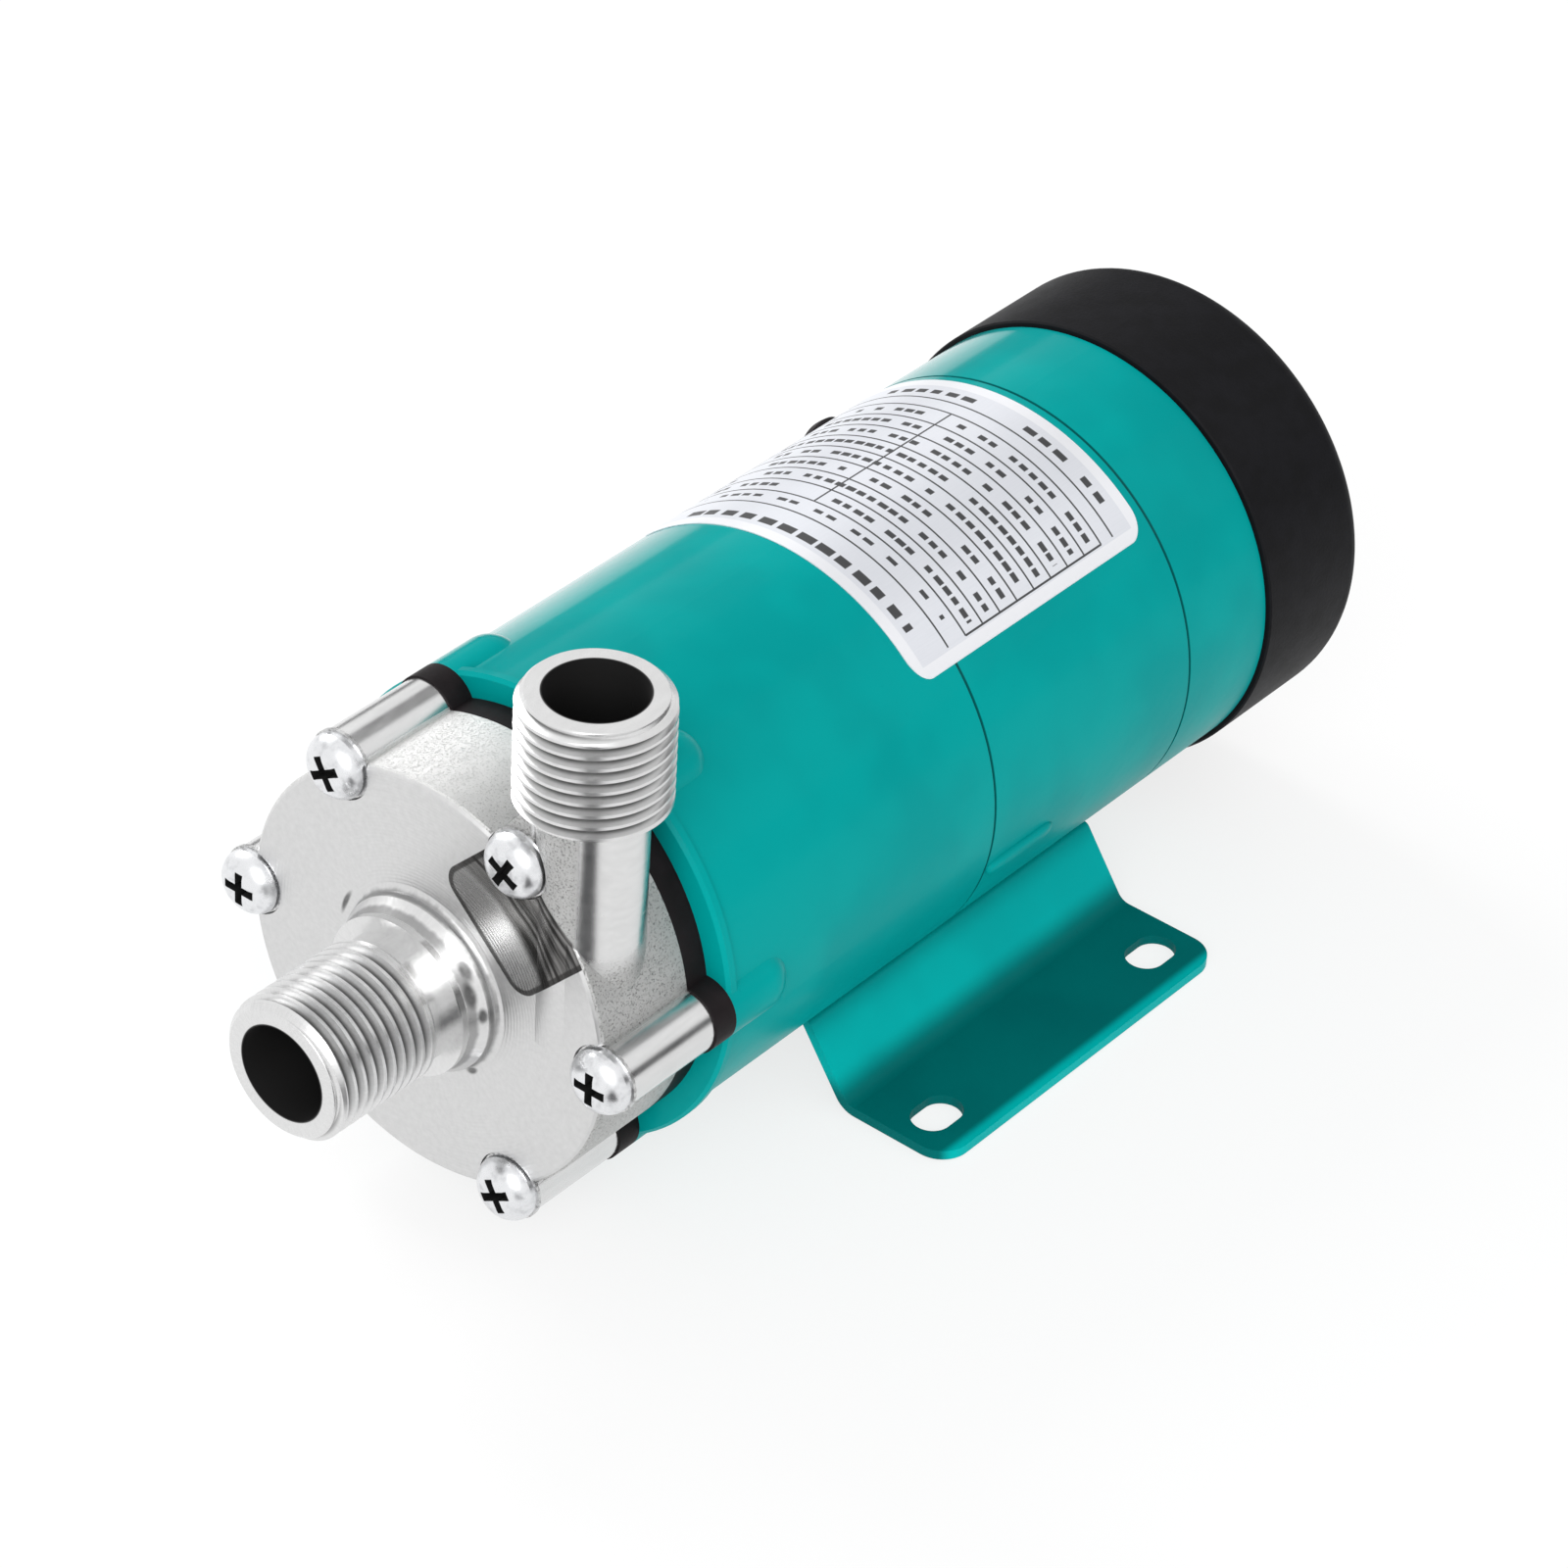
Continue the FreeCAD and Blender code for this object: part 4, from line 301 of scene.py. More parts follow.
ground = Finish("floor_white", Base_Color=FLOOR_WHITE, Roughness=0.9, Specular_IOR_Level=0.0)
glow = ground.node("ShaderNodeEmission", inputs={"Color": WHITE, "Strength": 1.0})
x, y, _ = ground.split(ground.place())
near = ground.fall(ground.radius(x, y), *SHADOW_FADE)
glowing = white_rays(ground) * (1 - SHADOW_SHARE * near)
painted = Signal(ground, ground.shader.outputs["BSDF"])
ground.feed(ground.output.inputs["Surface"],
            ground.node("ShaderNodeMixShader", inputs={0: glowing, 1: painted, 2: glow}))
floor.data.materials.append(ground.owner)
print("floor reaches", FLOOR_REACH, "m, shadow share", SHADOW_SHARE)

# %% [markdown]
# One large soft lamp stands over the photographer's left shoulder. A weaker one behind the pump
# draws the bright line along the top of the body.

# %% Lamps
LAMP_AIM = Vector((-0.01, 0, 0.045))
# Place, side of the square and power
LAMPS = {
    "key_lamp": ((-0.95, -0.55, 0.75), 0.7, 7.0),
    "rim_lamp": ((0.1, 0.8, 0.62), 0.45, 4.5),
}


def lamp(name, place, side, power):
    """A square soft lamp that faces the middle of the pump."""
    data = bpy.data.lights.new(name, "AREA")
    data.size = side
    data.energy = power
    light = bpy.data.objects.new(name, data)
    light.location = place
    light.rotation_euler = (LAMP_AIM - Vector(place)).to_track_quat("-Z", "Y").to_euler()
    bpy.context.scene.collection.objects.link(light)


for name, facts in LAMPS.items():
    lamp(name, *facts)
print("lamps:", ", ".join(LAMPS))

# %% [markdown]
# Bright metal shows what stands around it, and in an all white studio it would look like paper.
# Photographers of metal put dark cards beside it, for the long dark streaks that say polished. The
# cards here are part of the studio: only mirror rays see them, so they cast no shadow and dim
# nothing.

# %% Dark cards for the metal
CARD_GREY = paint(46, 46, 48)
CARD_PALE = paint(60, 60, 62)
PUMP_MIDDLE = (-0.08, 0.0, 0.045)
# Place, the point it faces, spin in degrees, width and length
CARDS = {
    "card_right": ((0.50, -0.62, 0.16), PUMP_MIDDLE, 0.0, 0.26, 0.9),
    "card_top": ((0.52, 0.04, 0.68), PUMP_MIDDLE, 0.0, 0.30, 0.5),
    "card_back": ((0.60, 0.62, 0.20), PUMP_MIDDLE, 0.0, 0.24, 0.9),
    "card_floor": ((-0.186, -0.104, 0.003), (-0.186, -0.104, 1.0), 37.7, 0.05, 0.16),
}

dark_card = Finish("card_grey", Roughness=1.0, Specular_IOR_Level=0.0)
cloudy = dark_card.grain(dark_card.place(), scale=0.01)
dark_card.surface(Base_Color=dark_card.blend(cloudy, CARD_GREY, CARD_PALE))


def card(name, place, aim, spin, width, length):
    """A dark strip that faces a point, and that only mirror rays see."""
    strip = flat_piece(name, length / 2, width / 2)
    facing = (Vector(aim) - Vector(place)).to_track_quat("Z", "Y")
    spun = facing.to_matrix() @ Matrix.Rotation(math.radians(spin), 3, "Z")
    strip.matrix_world = Matrix.Translation(place) @ spun.to_4x4()
    strip.visible_camera = False
    strip.visible_diffuse = False
    strip.visible_shadow = False
    strip.data.materials.append(dark_card.owner)
    return strip


[card(name, *facts) for name, facts in CARDS.items()]
print("cards:", ", ".join(CARDS))

# %% [markdown]
# The pump's own frame makes the masks simple: the pump axis is a line along X at a known height,
# so the distance from it and the angle around it say where a point lies on any turned part.
# Every finish below starts from this place, worked out once per material, in millimetres.

# %% Where a point lies on the pump
WASHER_BEHIND_FACE = 0.4
AXIS_HEIGHT = (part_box("motor_shell")[0].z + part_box("motor_shell")[1].z) / 2 / MM
FACE_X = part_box("casing_washers")[0].x / MM - WASHER_BEHIND_FACE
FRONT_SEAM_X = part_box("motor_shell")[0].x / MM
REAR_SEAM_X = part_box("motor_shell")[1].x / MM
BODY_RADIUS = (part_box("motor_shell")[1].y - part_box("motor_shell")[0].y) / 2 / MM


def pump_place(finish):
    """Place, its x, y and height above the axis, and the distance from the axis."""
    place = finish.place()
    x, y, z = finish.split(place)
    up = z - AXIS_HEIGHT
    return place, x, y, up, finish.radius(y, up)


print("axis height", round(AXIS_HEIGHT, 2), "face at", round(FACE_X, 2), "seams at",
      round(FRONT_SEAM_X, 2), round(REAR_SEAM_X, 2))

# %% [markdown]
# The body is aluminium under glossy teal enamel. Sprayed enamel is never quite flat: it has a
# faint orange peel, so the surface gets a shallow bump, and its colour drifts a little. The upper
# side is kept clean and shines where it is seen at a slant, which Layer Weight gives. The two
# seams of the body hold a thin dark line, where paint stops and dirt sits. Where the foot's legs
# meet the body, its colour is painted a little darker, as painted shade, because little light gets
# into that corner.

# %% Teal enamel
TEAL = paint(0, 158, 156)
TEAL_DEEP = paint(0, 150, 149)
TEAL_SEAM = paint(0, 62, 62)
SEAM_HALF = 0.16
SEAM_SOFT = 0.14
SEAM_COVER = 0.85
SPECK_SHADE = 0.06
PEEL_DEPTH = 0.035
ENAMEL_ROUGHNESS = 0.3
WIPED_ROUGHNESS = 0.1
SEAM_ROUGHNESS = 0.3
UPPER_SIDE = (-8.0, 22.0)
SLANT = (0.45, 0.9)
COAT_LEAST = 0.02
COAT_GAIN = 0.95
CORNER_SHADE = 0.3
LEG_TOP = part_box("base_bracket")[1].z / MM - AXIS_HEIGHT
LEG_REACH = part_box("base_bracket")[1].x / MM
LEG_SOFT = 4.0
LEG_SHADOW = (LEG_TOP - 3.0, LEG_TOP + 3.5)


def enamel(name, seams):
    """An enamel finish, its colour, roughness and relief, and x, y and height above the axis."""
    finish = Finish(name, Specular_IOR_Level=0.03, Coat_Roughness=0.12)
    place, x, y, up, _ = pump_place(finish)
    facing = finish.node("ShaderNodeLayerWeight", inputs={"Blend": 0.5}, output="Facing")
    clean = finish.rise(up, *UPPER_SIDE) * finish.rise(facing, *SLANT)
    finish.surface(Coat_Weight=COAT_LEAST + COAT_GAIN * clean)
    drift = finish.rise(finish.grain(place, scale=0.05, detail=2.0), 0.35, 0.65)
    speck = finish.rise(finish.grain(place, scale=1.4, detail=1.0), 0.74, 0.8)
    peel = finish.grain(place, scale=0.45, detail=2.0, roughness=0.4)
    wipes = finish.grain(place, scale=0.12, detail=2.0)
    line = finish.most(x * 0, *[finish.band(x, seam - SEAM_HALF, seam + SEAM_HALF, SEAM_SOFT)
                                for seam in seams])
    colour = finish.blend(drift, TEAL, TEAL_DEEP)
    colour = finish.blend(line * SEAM_COVER, colour, TEAL_SEAM)
    colour = finish.shade(colour, 1 - SPECK_SHADE * speck)
    roughness = ENAMEL_ROUGHNESS + WIPED_ROUGHNESS * wipes + SEAM_ROUGHNESS * line
    return finish, colour, roughness, finish.bump(peel - line, PEEL_DEPTH), (x, y, up)


body, colour, roughness, relief, (x, _, up) = enamel("teal_enamel", (FRONT_SEAM_X, REAR_SEAM_X))
# Painted shade in the corner where the foot's legs meet the body
leg_corner_shade = body.fall(up, *LEG_SHADOW) * body.band(x, -LEG_REACH, LEG_REACH, LEG_SOFT)
colour = body.shade(colour, 1 - CORNER_SHADE * leg_corner_shade)
FINISHES["teal_enamel"] = body.surface(Base_Color=colour, Roughness=roughness, Normal=relief)
print("enamel seams at", round(FRONT_SEAM_X, 1), "and", round(REAR_SEAM_X, 1))

# %% [markdown]
# The foot has the same paint. Its legs lean towards the light, and their colour is painted
# brighter as painted light, while the level plates are painted a deep teal as painted shade and
# are a little rougher. Their outer rim keeps the brightened colour as a painted highlight. At the
# top of the legs, where they meet the body, the colour is painted darker as painted shade.

# %% Teal enamel on the foot
PAINTED_PLATE_SHADE = 0.46
PAINTED_LEG_LIGHT = 1.42
PLATE_DULL = 0.1
FOOT_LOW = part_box("base_bracket")[0].z / MM
FOOT_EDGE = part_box("base_bracket")[1].y / MM
PLATE_END = (FOOT_LOW + 1.6, FOOT_LOW + 5.6)
RIM_START = (FOOT_EDGE - 2.1, FOOT_EDGE - 0.5)
CORNER_START = (LEG_TOP - 3.0, LEG_TOP + 1.0)

foot, colour, roughness, relief, (_, y, up) = enamel("teal_feet", ())
# Painted shade and more roughness on the level plates, short of their rim; the legs and the rim
# get painted light
level = foot.fall(up + AXIS_HEIGHT, *PLATE_END)
plate_shade_and_dull = level * foot.fall(foot.math("ABSOLUTE", y), *RIM_START)
# Painted shade at the top of the legs, where they meet the body
corner = foot.rise(up, *CORNER_START)
colour = foot.shade(colour, 1 - CORNER_SHADE * corner)
colour = foot.shade(colour, PAINTED_LEG_LIGHT - (PAINTED_LEG_LIGHT - PAINTED_PLATE_SHADE) * plate_shade_and_dull)
FINISHES["teal_feet"] = foot.surface(Base_Color=colour, Roughness=roughness + PLATE_DULL * plate_shade_and_dull,
                                     Normal=relief)
print("leg top", round(LEG_TOP, 1), "from the axis, foot edge at", round(FOOT_EDGE, 1))

# %% [markdown]
# The pump head is one stainless casting, but it shows four surfaces. The round face was turned in
# a lathe and keeps fine rings; the threads and the ends of the ports were turned too and shine;
# the bosses were linished along X; and the rest is as cast, with a sandy grain that holds grey in
# its pits. One metal with masks does this better than four materials, because the zones fade into
# each other as they do on the real part. The first cell finds the zones. A ring of bosses repeats
# around the axis, so one folded sector serves them all.

# %% Zones of the stainless casting
HEAD_RADIUS = 31.2
BOSS_RADIUS = 4.7
HEAD_SECTOR = math.pi / 6
FLARE_FOOT = (11.0, 11.6)
INLET_ROOT = (13.8, 14.4)
NECK_SIDE = (7.7, 8.0)
NECK_START = (12.0, 17.0)
OUTLET_X = FACE_X + 7.2
OUTLET_Y = -21.8
OUTLET_THREAD_FOOT = 37.5
FACE_SPAN = (FACE_X - 0.6, FACE_X + 0.3)
BEHIND_FACE = (FACE_X + 0.3, FACE_X + 0.6)
INLET_START = (FACE_X - 0.3, FACE_X - 0.1)
OUTLET_START = (OUTLET_THREAD_FOOT - 0.6, OUTLET_THREAD_FOOT - 0.2)
HEAD_EDGE = (HEAD_RADIUS, HEAD_RADIUS + 0.3)
BOSS_START = (HEAD_RADIUS + 0.2, HEAD_RADIUS + 0.6)
BOSS_EDGE = (BOSS_RADIUS + 0.05, BOSS_RADIUS + 0.5)
SHARP = 0.1


def from_screw(finish, around, half_sector):
    """The angle from the nearest screw of a ring, by folding the angle around the axis."""
    return half_sector - finish.math("PINGPONG", around, half_sector)


casting = Finish("cast_stainless", Metallic=1.0)
place, x, y, up, away = pump_place(casting)
around = casting.math("ARCTAN2", y, up)
from_outlet = casting.radius(x - OUTLET_X, y - OUTLET_Y)
behind_face = casting.rise(x, *BEHIND_FACE)

face = (casting.band(x, *FACE_SPAN, SHARP) * casting.rise(away, *FLARE_FOOT)
        * casting.fall(away, *HEAD_EDGE))
inlet = casting.fall(x, *INLET_START) * casting.fall(away, *INLET_ROOT)
outlet = casting.rise(up, *OUTLET_START)
neck = casting.fall(from_outlet, *NECK_SIDE) * casting.rise(up, *NECK_START) * behind_face
turned = from_screw(casting, around, HEAD_SECTOR)
from_boss = casting.radius(away * casting.math("COSINE", turned) - HEAD_RADIUS,
                           away * casting.math("SINE", turned))
boss = casting.fall(from_boss, *BOSS_EDGE) * casting.rise(away, *BOSS_START)
cast = 1 - casting.most(face, inlet, outlet, boss, neck)
print("zones: face, inlet, outlet, bosses, neck and as cast")

# %% [markdown]
# The roots of the threads are painted darker than the crests, as painted shade. The bores are
# painted nearly black, as painted shade inside the ports. The flare where the inlet leaves the
# face was turned with a round tool, which left a few grey rings.

# %% Threads, bores and flare
INLET_THREAD = (FACE_X - 26.6, FACE_X - 9.9)
OUTLET_THREAD = (OUTLET_THREAD_FOOT + 0.2, OUTLET_THREAD_FOOT + 15.3)
THREAD_ROOT = (9.38, 10.08)
PORT_BORE = (7.1, 7.3)
OUTLET_BORE_START = (18.0, 22.0)
FLARE_SPAN = (FACE_X - 5.3, FACE_X + 0.2)
FLARE_ROOT = (13.6, 14.2)

on_inlet_thread = inlet * casting.band(x, *INLET_THREAD, SHARP)
on_outlet_thread = outlet * casting.band(up, *OUTLET_THREAD, SHARP)
root = casting.most(on_inlet_thread * casting.fall(away, *THREAD_ROOT),
                    on_outlet_thread * casting.fall(from_outlet, *THREAD_ROOT))
bore = casting.most(casting.fall(away, *PORT_BORE),
                    casting.fall(from_outlet, *PORT_BORE) * casting.rise(up, *OUTLET_BORE_START))
flare = casting.band(x, *FLARE_SPAN, SHARP) * casting.fall(away, *FLARE_ROOT)
print("threads shaded below", THREAD_ROOT[1], "mm from the middle of a port")

# %% [markdown]
# Now the steel itself. Sand pits cover what is as cast and crowd around the foot of the outlet.
# The lathe rings are a sine of the distance from the axis, disturbed a little, since an even sine
# looks drawn. Long streaks along X stand for the marks of the belt that cleaned the casting.

# %% Tone of the steel
STEEL = paint(222, 222, 222)
STEEL_CAST = paint(218, 218, 217)
STEEL_PIT = paint(84, 83, 82)
STEEL_DARK = paint(58, 58, 58)
STEEL_RING = paint(96, 96, 96)
RING_PITCH = 0.55
RING_WANDER = 2.5
FLARE_RINGS = 2.4
FLARE_WANDER = 1.5
STREAK_ALONG = 0.06
STREAK_AROUND = 9.0
STREAK_AWAY = 0.4
STREAK_LEAST = 0.9
STREAK_GAIN = 0.2
WEB_REACH = (10.0, 22.0)
FACE_DULL = 0.085
WEB_DULL = 0.2
PIT_COVER = 0.65
PITS_ELSEWHERE = 0.25
ROOT_SHADE_COVER = 0.55
RING_COVER = 0.6

sand = casting.grain(place, scale=3.2, detail=4.0, roughness=0.7)
pits = casting.rise(sand, 0.5, 0.66)
near_web = casting.fall(from_outlet, *WEB_REACH)
wander = casting.grain(place, scale=0.3, detail=2.0)
lathe = face * casting.math("SINE", away * (2 * math.pi / RING_PITCH) + RING_WANDER * wander)
streak_place = casting.join(x * STREAK_ALONG, around * STREAK_AROUND, away * STREAK_AWAY)
streaks = casting.grain(streak_place, scale=3.0, detail=3.0, roughness=0.6)
uneven = casting.grain(streak_place, scale=1.0, detail=2.0)
flare_wave = casting.math("SINE", x * FLARE_RINGS + FLARE_WANDER * uneven)
ringed = flare * casting.rise(flare_wave, -0.5, 0.8)
crowd = PITS_ELSEWHERE + (1 - PITS_ELSEWHERE) * near_web

tone = casting.blend(cast, STEEL, STEEL_CAST)
tone = casting.shade(tone, STREAK_LEAST + STREAK_GAIN * streaks - WEB_DULL * cast * near_web
                     - FACE_DULL * face)
tone = casting.blend(pits * cast * crowd * PIT_COVER, tone, STEEL_PIT)
# Painted shade in the thread roots
tone = casting.blend(root * ROOT_SHADE_COVER, tone, STEEL_DARK)
tone = casting.blend(ringed * RING_COVER, tone, STEEL_RING)
print("lathe rings every", RING_PITCH, "mm")

# %% [markdown]
# Beside one of the screws the face is polished, down to a straight edge, and a darker reflection
# of the neck above it is painted into its colour, with the lathe rings bent through it. It is a
# patch on the
# face, with two axes of its own: the painted reflection has a dark outline, a bright lens of
# painted highlight nearer the inlet and a dark zone of streaks that follow the rings.

# %% Polished patch with a painted reflection
PATCH_ALONG = (-0.718, -0.696)
PATCH_ACROSS = (-0.696, 0.718)
PATCH_MIDDLE = (-1.4, 24.7)
PATCH_HALF = (9.9, 9.3)
PATCH_CORNER = 3.0
PATCH_OUTLINE = 0.7
LENS_EDGE = (21.4, 23.2)
GLEAM_PACE = 0.34
GLEAM_START = 0.9
LENS_COVER = 0.8
GLEAM_CLEARS = 0.75
OUTLINE_COVER = 0.8
REFLECTION_DARK = paint(52, 51, 50)
REFLECTION_GREY = paint(128, 127, 126)


def past_core(value, middle, half):
    """How far a value lies outside the patch's core, which is the patch less its corners."""
    return casting.math("MAXIMUM", casting.math("ABSOLUTE", value - middle)
                        - (half - PATCH_CORNER), 0.0)


along = y * PATCH_ALONG[0] + up * PATCH_ALONG[1]
across = y * PATCH_ACROSS[0] + up * PATCH_ACROSS[1]
from_core = casting.radius(past_core(along, PATCH_MIDDLE[0], PATCH_HALF[0]),
                           past_core(across, PATCH_MIDDLE[1], PATCH_HALF[1]))
inside = casting.fall(from_core, PATCH_CORNER - 0.15, PATCH_CORNER) * face
outline_start = PATCH_CORNER - PATCH_OUTLINE
outline = inside * casting.rise(from_core, outline_start - 0.3, outline_start)
lens = inside * casting.fall(away, *LENS_EDGE)
painted_gleam = casting.rise(casting.math("SINE", along * GLEAM_PACE + GLEAM_START), -0.5, 0.9)
bent = 0.6 * casting.grain(place, scale=0.2, detail=1.0)
ring_place = casting.join(away * 0.9 + bent, along * 0.05, 0.0)
reflected_ring_streaks = casting.rise(casting.grain(ring_place, scale=1.0, detail=2.0, roughness=0.6),
                            0.38, 0.62)
# The painted reflection: a grey lens with a painted highlight, dark streaks and a dark outline
tone = casting.blend(lens * (LENS_COVER - GLEAM_CLEARS * painted_gleam), tone, REFLECTION_GREY)
tone = casting.blend(inside * (1 - lens), tone,
                     casting.blend(reflected_ring_streaks, REFLECTION_DARK, REFLECTION_GREY))
tone = casting.blend(outline * OUTLINE_COVER, tone, REFLECTION_DARK)
print("patch:", 2 * PATCH_HALF[0], "by", 2 * PATCH_HALF[1], "mm")

# %% [markdown]
# A few dark marks sit around the root of the inlet, where the casting was held. Each is a short
# arc: an oval in angle and distance, very thin in distance, soft at its edge and worn unevenly.

# %% Marks around the inlet
# Angle around the axis, distance from it, half of the angle that the mark takes and half its width
MARKS = ((69.0, 15.2, 8.0, 0.4), (-50.0, 12.4, 8.0, 0.4), (-66.0, 12.0, 9.0, 0.45),
         (-82.0, 12.6, 5.0, 0.35), (-141.0, 13.9, 4.0, 0.55))
MARK_EDGE = (0.5, 1.4)

worn = 0.55 + 0.45 * casting.grain(casting.join(around * 6.0, away * 1.3, 0.0), scale=1.0,
                                   detail=2.0)
for mark_turn, mark_far, half_turn, half_far in MARKS:
    off_turn = (around * (180 / math.pi) - mark_turn) / half_turn
    off_far = (away - mark_far) / half_far
    mark = casting.fall(casting.radius(off_turn, off_far), *MARK_EDGE) * (1 - behind_face)
    tone = casting.blend(mark * worn, tone, STEEL_DARK)
print("marks on the face:", len(MARKS))

# %% [markdown]
# The casting is closed with its gloss and its relief. What is as cast scatters most, the turned
# face less, and the polished patch least. The relief is shallow: a tenth of a millimetre of sand.

# %% Gloss and relief of the casting
BORE_DARK = paint(9, 8, 8)
CAST_DEPTH = 0.12

roughness = 0.2 + 0.24 * cast + 0.12 * face + 0.1 * streaks + 0.45 * bore - 0.12 * inside
roughness = roughness + 0.05 * (on_inlet_thread + on_outlet_thread)
height = 0.5 * cast * (sand - pits) + 0.06 * lathe + 0.05 * streaks
# The bores are painted nearly black, as painted shade
FINISHES["cast_stainless"] = casting.surface(
    Base_Color=casting.blend(bore, tone, BORE_DARK), Roughness=roughness,
    Metallic=1 - 0.9 * bore, Normal=casting.bump(height, CAST_DEPTH))
print("casting closed, relief", CAST_DEPTH, "mm")

# %% [markdown]
# The screws are chromed pan heads with a cross recess. The same folded sector gives every recess
# of a ring its own pair of axes, and the recess is painted nearly black, because its walls see
# only each other. The pump head has six such screws and the fan cover four smaller ones, so one
# helper serves both rings.

# %% Screws
CHROME = paint(232, 233, 235)
CHROME_SHADE = paint(150, 151, 154)
RECESS_BLACK = paint(12, 12, 12)
HEAD_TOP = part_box("casing_screws")[0].x / MM
HEAD_CROSS = (0.72, 2.6)
COVER_SECTOR = math.pi / 4
COVER_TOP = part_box("fan_cover_screws")[1].x / MM
COVER_HEAD_RADIUS = 2.8
COVER_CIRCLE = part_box("fan_cover_screws")[1].y / MM - COVER_HEAD_RADIUS
COVER_CROSS = (0.5, 1.65)
HEAD_DEPTH = (HEAD_TOP + 0.04, HEAD_TOP + 2.4)
COVER_DEPTH = (COVER_TOP - 1.1, COVER_TOP - 0.04)
DEPTH_SOFT = 0.05

screws = Finish("chromed_screws", Metallic=1.0)
place, x, y, up, away = pump_place(screws)
around = screws.math("ARCTAN2", y, up)


def crosses(turned, circle, half_width, half_length):
    """One inside the crosses of a ring of screws; turned is the angle from the nearest one."""
    radial = screws.math("ABSOLUTE", away * screws.math("COSINE", turned) - circle)
    tangent = screws.math("ABSOLUTE", away * screws.math("SINE", turned))
    return (screws.fall(screws.math("MINIMUM", radial, tangent), half_width - 0.08, half_width)
            * screws.fall(screws.most(radial, tangent), half_length - 0.1, half_length))


turned = from_screw(screws, around, HEAD_SECTOR)
head = crosses(turned, HEAD_RADIUS, *HEAD_CROSS) * screws.band(x, *HEAD_DEPTH, DEPTH_SOFT)
turned = from_screw(screws, around + COVER_SECTOR, COVER_SECTOR)
cover = crosses(turned, COVER_CIRCLE, *COVER_CROSS) * screws.band(x, *COVER_DEPTH, DEPTH_SOFT)
recess = screws.most(head, cover)
wear = screws.grain(place, scale=0.7)
tone = screws.blend(screws.rise(wear, 0.45, 0.8) * 0.4, CHROME, CHROME_SHADE)
tone = screws.blend(recess, tone, RECESS_BLACK)
FINISHES["chromed_screws"] = screws.surface(
    Base_Color=tone, Roughness=0.24 + 0.08 * wear + 0.6 * recess,
    Metallic=1 - 0.8 * recess, Normal=screws.bump(wear, 0.001))
print("screw tops at", round(HEAD_TOP, 2), "and", round(COVER_TOP, 2))

# %% [markdown]
# The washers were stamped from sheet. They are bright too, but blotchy, and a little rougher.

# %% Washers
WASHER = paint(214, 214, 214)
WASHER_WORN = paint(160, 160, 160)

washers = Finish("screw_washers", Metallic=1.0)
wear = washers.grain(washers.place(), scale=2.0)
FINISHES["screw_washers"] = washers.surface(
    Base_Color=washers.blend(washers.rise(wear, 0.4, 0.7), WASHER, WASHER_WORN),
    Roughness=0.2 + 0.2 * wear, Normal=washers.bump(wear, 0.03))
print("washers finished")

# %% [markdown]
# The rating label is satin silver foil with a ruled table and rows of plain short dashes, which
# give it an even grey texture. A rule is a thin band along X or along the arc around the body.

# %% Rating label: foil and rules
FOIL = paint(230, 232, 238)
FOIL_BORDER = paint(240, 241, 245)
FOIL_SHADE = paint(214, 217, 224)
FOIL_INK = paint(22, 22, 24)
LABEL_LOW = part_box("rating_label")[0].x / MM
LABEL_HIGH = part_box("rating_label")[1].x / MM
LABEL_RADIUS = 34.37
LABEL_HALF_TURN = math.radians(48.0)
BORDER = 2.0
TABLE_LOW = -4.8
TABLE_HIGH = 26.0
TABLE_ROWS = 8
TABLE_PITCH = (TABLE_HIGH - TABLE_LOW) / TABLE_ROWS
TABLE_HALF_TURN = math.radians(44.0)
DIVIDER_TURN = math.radians(6.0)
RULE_HALF = 0.13
RULE_SOFT = 0.05
TURN_SOFT = 0.002
LONE_RULES = (-8.7, 28.7)

label = Finish("label_silver", Coat_Weight=0.15, Coat_Roughness=0.2)
_, x, y, up, away = pump_place(label)
turned = label.math("ARCTAN2", -1 * y, up)
arc = turned * LABEL_RADIUS


def rule(value, at):
    """A thin line where the value is at that number."""
    return label.band(value, at - RULE_HALF, at + RULE_HALF, RULE_SOFT)


in_table_turn = label.band(turned, -TABLE_HALF_TURN, TABLE_HALF_TURN, TURN_SOFT)
in_table_rows = label.band(x, TABLE_LOW, TABLE_HIGH, RULE_SOFT)
table_rules = [TABLE_LOW + number * TABLE_PITCH for number in range(TABLE_ROWS + 1)]
rules = label.most(
    *[rule(x, at) * in_table_turn for at in (*LONE_RULES, *table_rules)],
    *[rule(arc, at * LABEL_RADIUS) * in_table_rows
      for at in (-TABLE_HALF_TURN, -DIVIDER_TURN, TABLE_HALF_TURN)])
print("label from", round(LABEL_LOW, 1), "to", round(LABEL_HIGH, 1), "with", TABLE_ROWS, "rows")

# %% [markdown]
# A row of dashes is cut into cells along the arc. White noise gives each cell one number, which
# leaves some cells empty and sets how long the dash of the others is, so no two rows are alike.

# %% Rating label: dashes
ROW_SHIFT = 0.37
DASH_START = (0.06, 0.1)
DASH_LEAST = 0.55
DASH_SPREAD = 0.35
INK_COVER = 0.96
BORDER_SOFT = 0.1
# Where the rows start along X, their pitch, their number, the height and the pitch of the dashes,
# the share of cells that have one, and half the angle that a row takes
DASH_ROWS = (
    (-14.6, 3.6, 1, 1.6, 3.4, 0.9, 36.0),
    (-7.9, 2.6, 1, 0.8, 2.2, 0.75, 38.0),
    (TABLE_LOW, TABLE_PITCH, TABLE_ROWS, 1.0, 1.9, 0.72, 42.0),
    (29.4, 2.8, 1, 1.2, 2.8, 0.8, 36.0),
)


